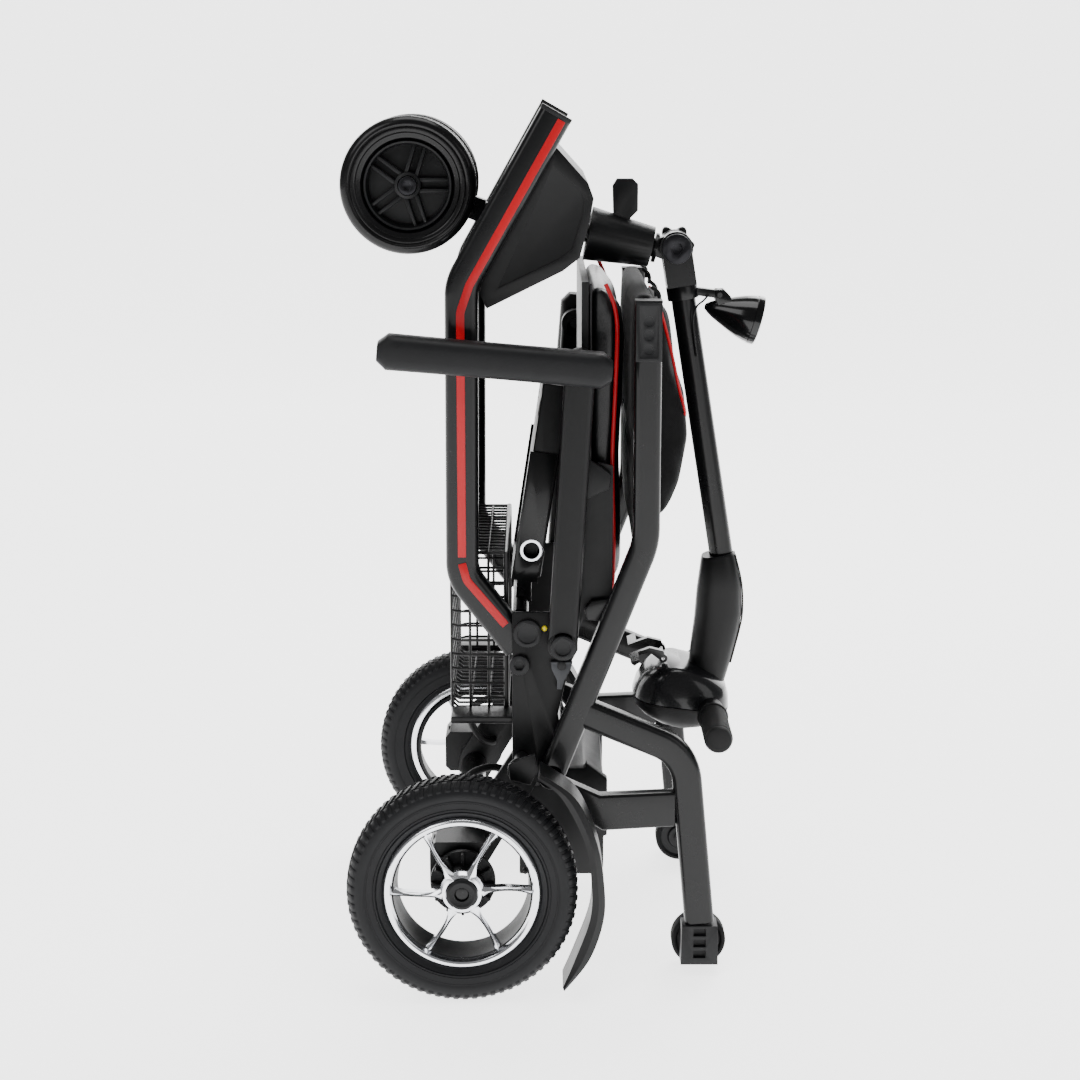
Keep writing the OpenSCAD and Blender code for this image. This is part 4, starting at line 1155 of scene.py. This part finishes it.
@dataclass
class Upholstery:
    """The seat cushion, the fabric back and its pouch."""

    seat_half: float = 168.0
    cap: float = 9.0
    voxel: float = 0.006
    frames: int = 20
    quality: int = 4

    def inflated(self, name: str, mesh: Mesh, pressure: float, cap: float) -> bpy.types.Mesh:
        """Fills a cushion's cover by a cloth simulation.

        Args:
            name: the scratch object's name.
            mesh: the cover in millimetres.
            pressure: the filling's pressure.
            cap: how far a point may move, in millimetres.

        Returns:
            The filled cover in metres.
        """
        obj = linked(name, mesh[0], [], mesh[1])
        remesh = obj.modifiers.new("voxels", "REMESH")
        remesh.mode, remesh.voxel_size = "VOXEL", self.voxel
        deps = bpy.context.evaluated_depsgraph_get()
        base = bpy.data.meshes.new_from_object(obj.evaluated_get(deps))
        obj.modifiers.clear()
        obj.data = base
        start = [v.co.copy() for v in base.vertices]
        cloth = obj.modifiers.new("cloth", "CLOTH")
        cloth.settings.use_pressure = True
        cloth.settings.uniform_pressure_force = pressure
        cloth.settings.effector_weights.gravity = 0.0
        cloth.settings.quality = self.quality
        scene = bpy.context.scene
        for step in range(1, self.frames + 1):
            scene.frame_set(step)
        filled = bpy.data.meshes.new_from_object(
            obj.evaluated_get(bpy.context.evaluated_depsgraph_get()))
        scene.frame_set(1)
        obj.modifiers.clear()
        for vertex, before in zip(filled.vertices, start):
            move = vertex.co - before
            if move.length > cap * MM:
                vertex.co = before + move * (cap * MM / move.length)
        base = filled
        bpy.data.objects.remove(obj)
        return base

    def cushion(self) -> None:
        """The seat cushion: a filled cover with red piping round its face."""
        outline = [(38, 434), (52, 431), (62, 437), (64, 470), (63, 520), (61, 585), (64, 652), (66, 722),
                   (63, 752), (54, 776), (38, 780)]
        half = self.seat_half - 5
        mesh = prism(outline, -half, half, 7, 3)
        cover = self.inflated("cushion_cover", mesh, 4.0, self.cap)
        pad = SHOP.finished("seat_pad", cover, LEATHER, "seat", "seat_cushion", crease=180, smooth=1)
        face = [(46, 430), (61, 440), (63.5, 470), (63, 520), (61.5, 585), (64, 652), (66, 722), (63, 752),
                (53, 777)]
        rows = [spline([(x, y, z) for x, z in face], 8) for y in (1.5 - half, half - 1.5)]
        SHOP.piece("seat_piping", STRAND.made(rows, 2.4, TRIM_RED, sides=10), TRIM_RED, "seat", crease=60)
        welt = [[(37, y, z) for y, z in [(-half - 3, 436), (-half - 3, 778)]]]
        SHOP.piece("seat_welt", STRAND.made(welt, 1.6, LEATHER, sides=8), LEATHER, "seat", crease=60)
        SHOP.softened("seat_pan", PLATE_PAINT, "seat", 0.8)

    def back(self) -> None:
        """The padded fabric back."""
        outline = [(90, 474), (97, 470), (102, 478), (102, 584), (91, 588), (90, 612), (102, 616),
                   (102, 752), (106, 764), (103, 769), (92, 770), (86, 764), (84, 700), (84, 640),
                   (86, 570)]
        mesh = prism(outline, -181, 181, 4, 2)
        panel = SHOP.finished("back_panel", self.inflated("back_cover", mesh, 2.0, 4.0), MESH_CLOTH,
                              "back_frame", "backrest", crease=180, smooth=1)
        edge = [[(112, y, 755), (111, y, 766), (103, y, 773)] for y in (-150, -75, 75, 150)]
        SHOP.piece("back_straps", STRAND.made([spline(s, 6) for s in edge], 2.2, MESH_CLOTH, sides=8),
                   MESH_CLOTH, "back_frame", crease=60)

    def pouch(self) -> None:
        """The stowage pouch behind the seat, its flap and red binding."""
        outline = [(107, 502), (119, 510), (134, 546), (143, 600), (139, 648), (128, 682), (121, 742),
                   (114, 757), (107.5, 749), (107, 614), (112, 606), (112, 594), (107, 588)]
        mesh = prism(outline, -115, 115, 6, 3)
        bag = SHOP.finished("pouch_bag", self.inflated("pouch_cover", mesh, 3.0, 5.0), MESH_CLOTH,
                            "back_frame", "rear_pouch", crease=180, smooth=1)
        hem = spline([(114, -118, 748), (127, -119, 700), (137, -118, 655), (144, -112, 630),
                      (144.5, -60, 612), (145, 0, 606), (144.5, 60, 612), (144, 112, 630), (137, 118, 655),
                      (127, 119, 700), (114, 118, 748)], 8)
        SHOP.piece("pouch_binding", STRAND.made([hem], 1.8, TRIM_RED, sides=8), TRIM_RED, "back_frame",
                   crease=60)
        zips = spline([(111, -60, 508), (128, -66, 530), (137, -66, 560), (142, -60, 590)], 6)
        far = [(x, -y, z) for x, y, z in zips]
        SHOP.piece("pouch_seams", STRAND.made([zips, far], 1.2, CABLE, sides=8), CABLE, "back_frame",
                   crease=60)

    def build(self) -> None:
        """Builds all soft pieces."""
        self.cushion()
        self.back()
        self.pouch()


@dataclass
class Studio:
    """The pale floor, soft lights and the camera."""

    lens: float = 73.33
    sensor: float = 36.0
    place: Point3 = (-0.018, -2.545, 1.005)
    pitch: float = 77.9
    sky: float = 0.22
    glow: float = 2.6
    half_width: float = 9.0
    sweep: float = 2.5
    wall_at: float = 4.0
    wall_top: float = 9.0

    def floor(self) -> None:
        """A pale floor that sweeps up into a backdrop far behind."""
        line = [(-self.half_width, 0.0), (self.wall_at, 0.0)]
        line += [(self.wall_at + self.sweep * math.sin(math.radians(a)),
                  self.sweep - self.sweep * math.cos(math.radians(a))) for a in range(10, 91, 10)]
        line.append((self.wall_at + self.sweep, self.wall_top))
        verts = [(x, y, z) for y, z in line for x in (-self.half_width, self.half_width)]
        faces = [[2 * k, 2 * k + 1, 2 * k + 3, 2 * k + 2] for k in range(len(line) - 1)]
        data = bpy.data.meshes.new("studio_floor")
        data.from_pydata(verts, [], faces)
        data.shade_smooth()
        floor = bpy.data.objects.new("studio_floor", data)
        shade = Shade("studio_white")
        for key, value in (("Base Color", (0.9, 0.9, 0.9, 1)), ("Roughness", 0.7),
                           ("Specular IOR Level", 0.2), ("Emission Color", (1, 1, 1, 1)),
                           ("Emission Strength", self.glow)):
            shade.shader.inputs[key].default_value = value
        data.materials.append(shade.material)
        bpy.context.scene.collection.objects.link(floor)

    def light(self, name: str, place: Point3, size: float, power: float) -> None:
        """One soft area light aimed at the scooter's middle."""
        data = bpy.data.lights.new(name, "AREA")
        data.shape, data.size, data.energy = "SQUARE", size, power
        lamp = bpy.data.objects.new(name, data)
        lamp.location = place
        lamp.rotation_euler = (Vector((0, 0, 0.5)) - Vector(place)).to_track_quat("-Z", "Y").to_euler()
        bpy.context.scene.collection.objects.link(lamp)

    def build(self) -> None:
        """Sets up the floor, sky, lights and camera."""
        world = bpy.data.worlds.new("studio_sky")
        world.use_nodes = True
        background = world.node_tree.nodes["Background"]
        background.inputs[0].default_value = (1.0, 1.0, 1.0, 1)
        background.inputs[1].default_value = self.sky
        bpy.context.scene.world = world
        self.floor()
        self.light("key_light", (-1.9, -2.4, 2.6), 1.6, 34)
        self.light("fill_light", (2.2, -2.2, 1.4), 1.8, 16)
        self.light("rim_light", (1.2, 2.4, 2.4), 1.4, 40)
        self.light("top_light", (0.0, -0.3, 3.0), 1.5, 36)
        data = bpy.data.cameras.new("camera")
        data.lens, data.sensor_width = self.lens, self.sensor
        camera = bpy.data.objects.new("camera", data)
        camera.location = self.place
        camera.rotation_euler = (math.radians(self.pitch), 0, 0)
        bpy.context.scene.collection.objects.link(camera)
        bpy.context.scene.camera = camera


def main() -> None:
    """Builds the scooter and logs how many pieces it made."""
    logging.basicConfig(level=logging.INFO, format="%(name)s: %(message)s")
    for part in (Studio(), Chassis(), Wheels(), Tiller(), BackFrame(), Upholstery()):
        part.build()
    LOG.info("%d pieces", len(SHOP.made))


if __name__ == "__main__":
    main()
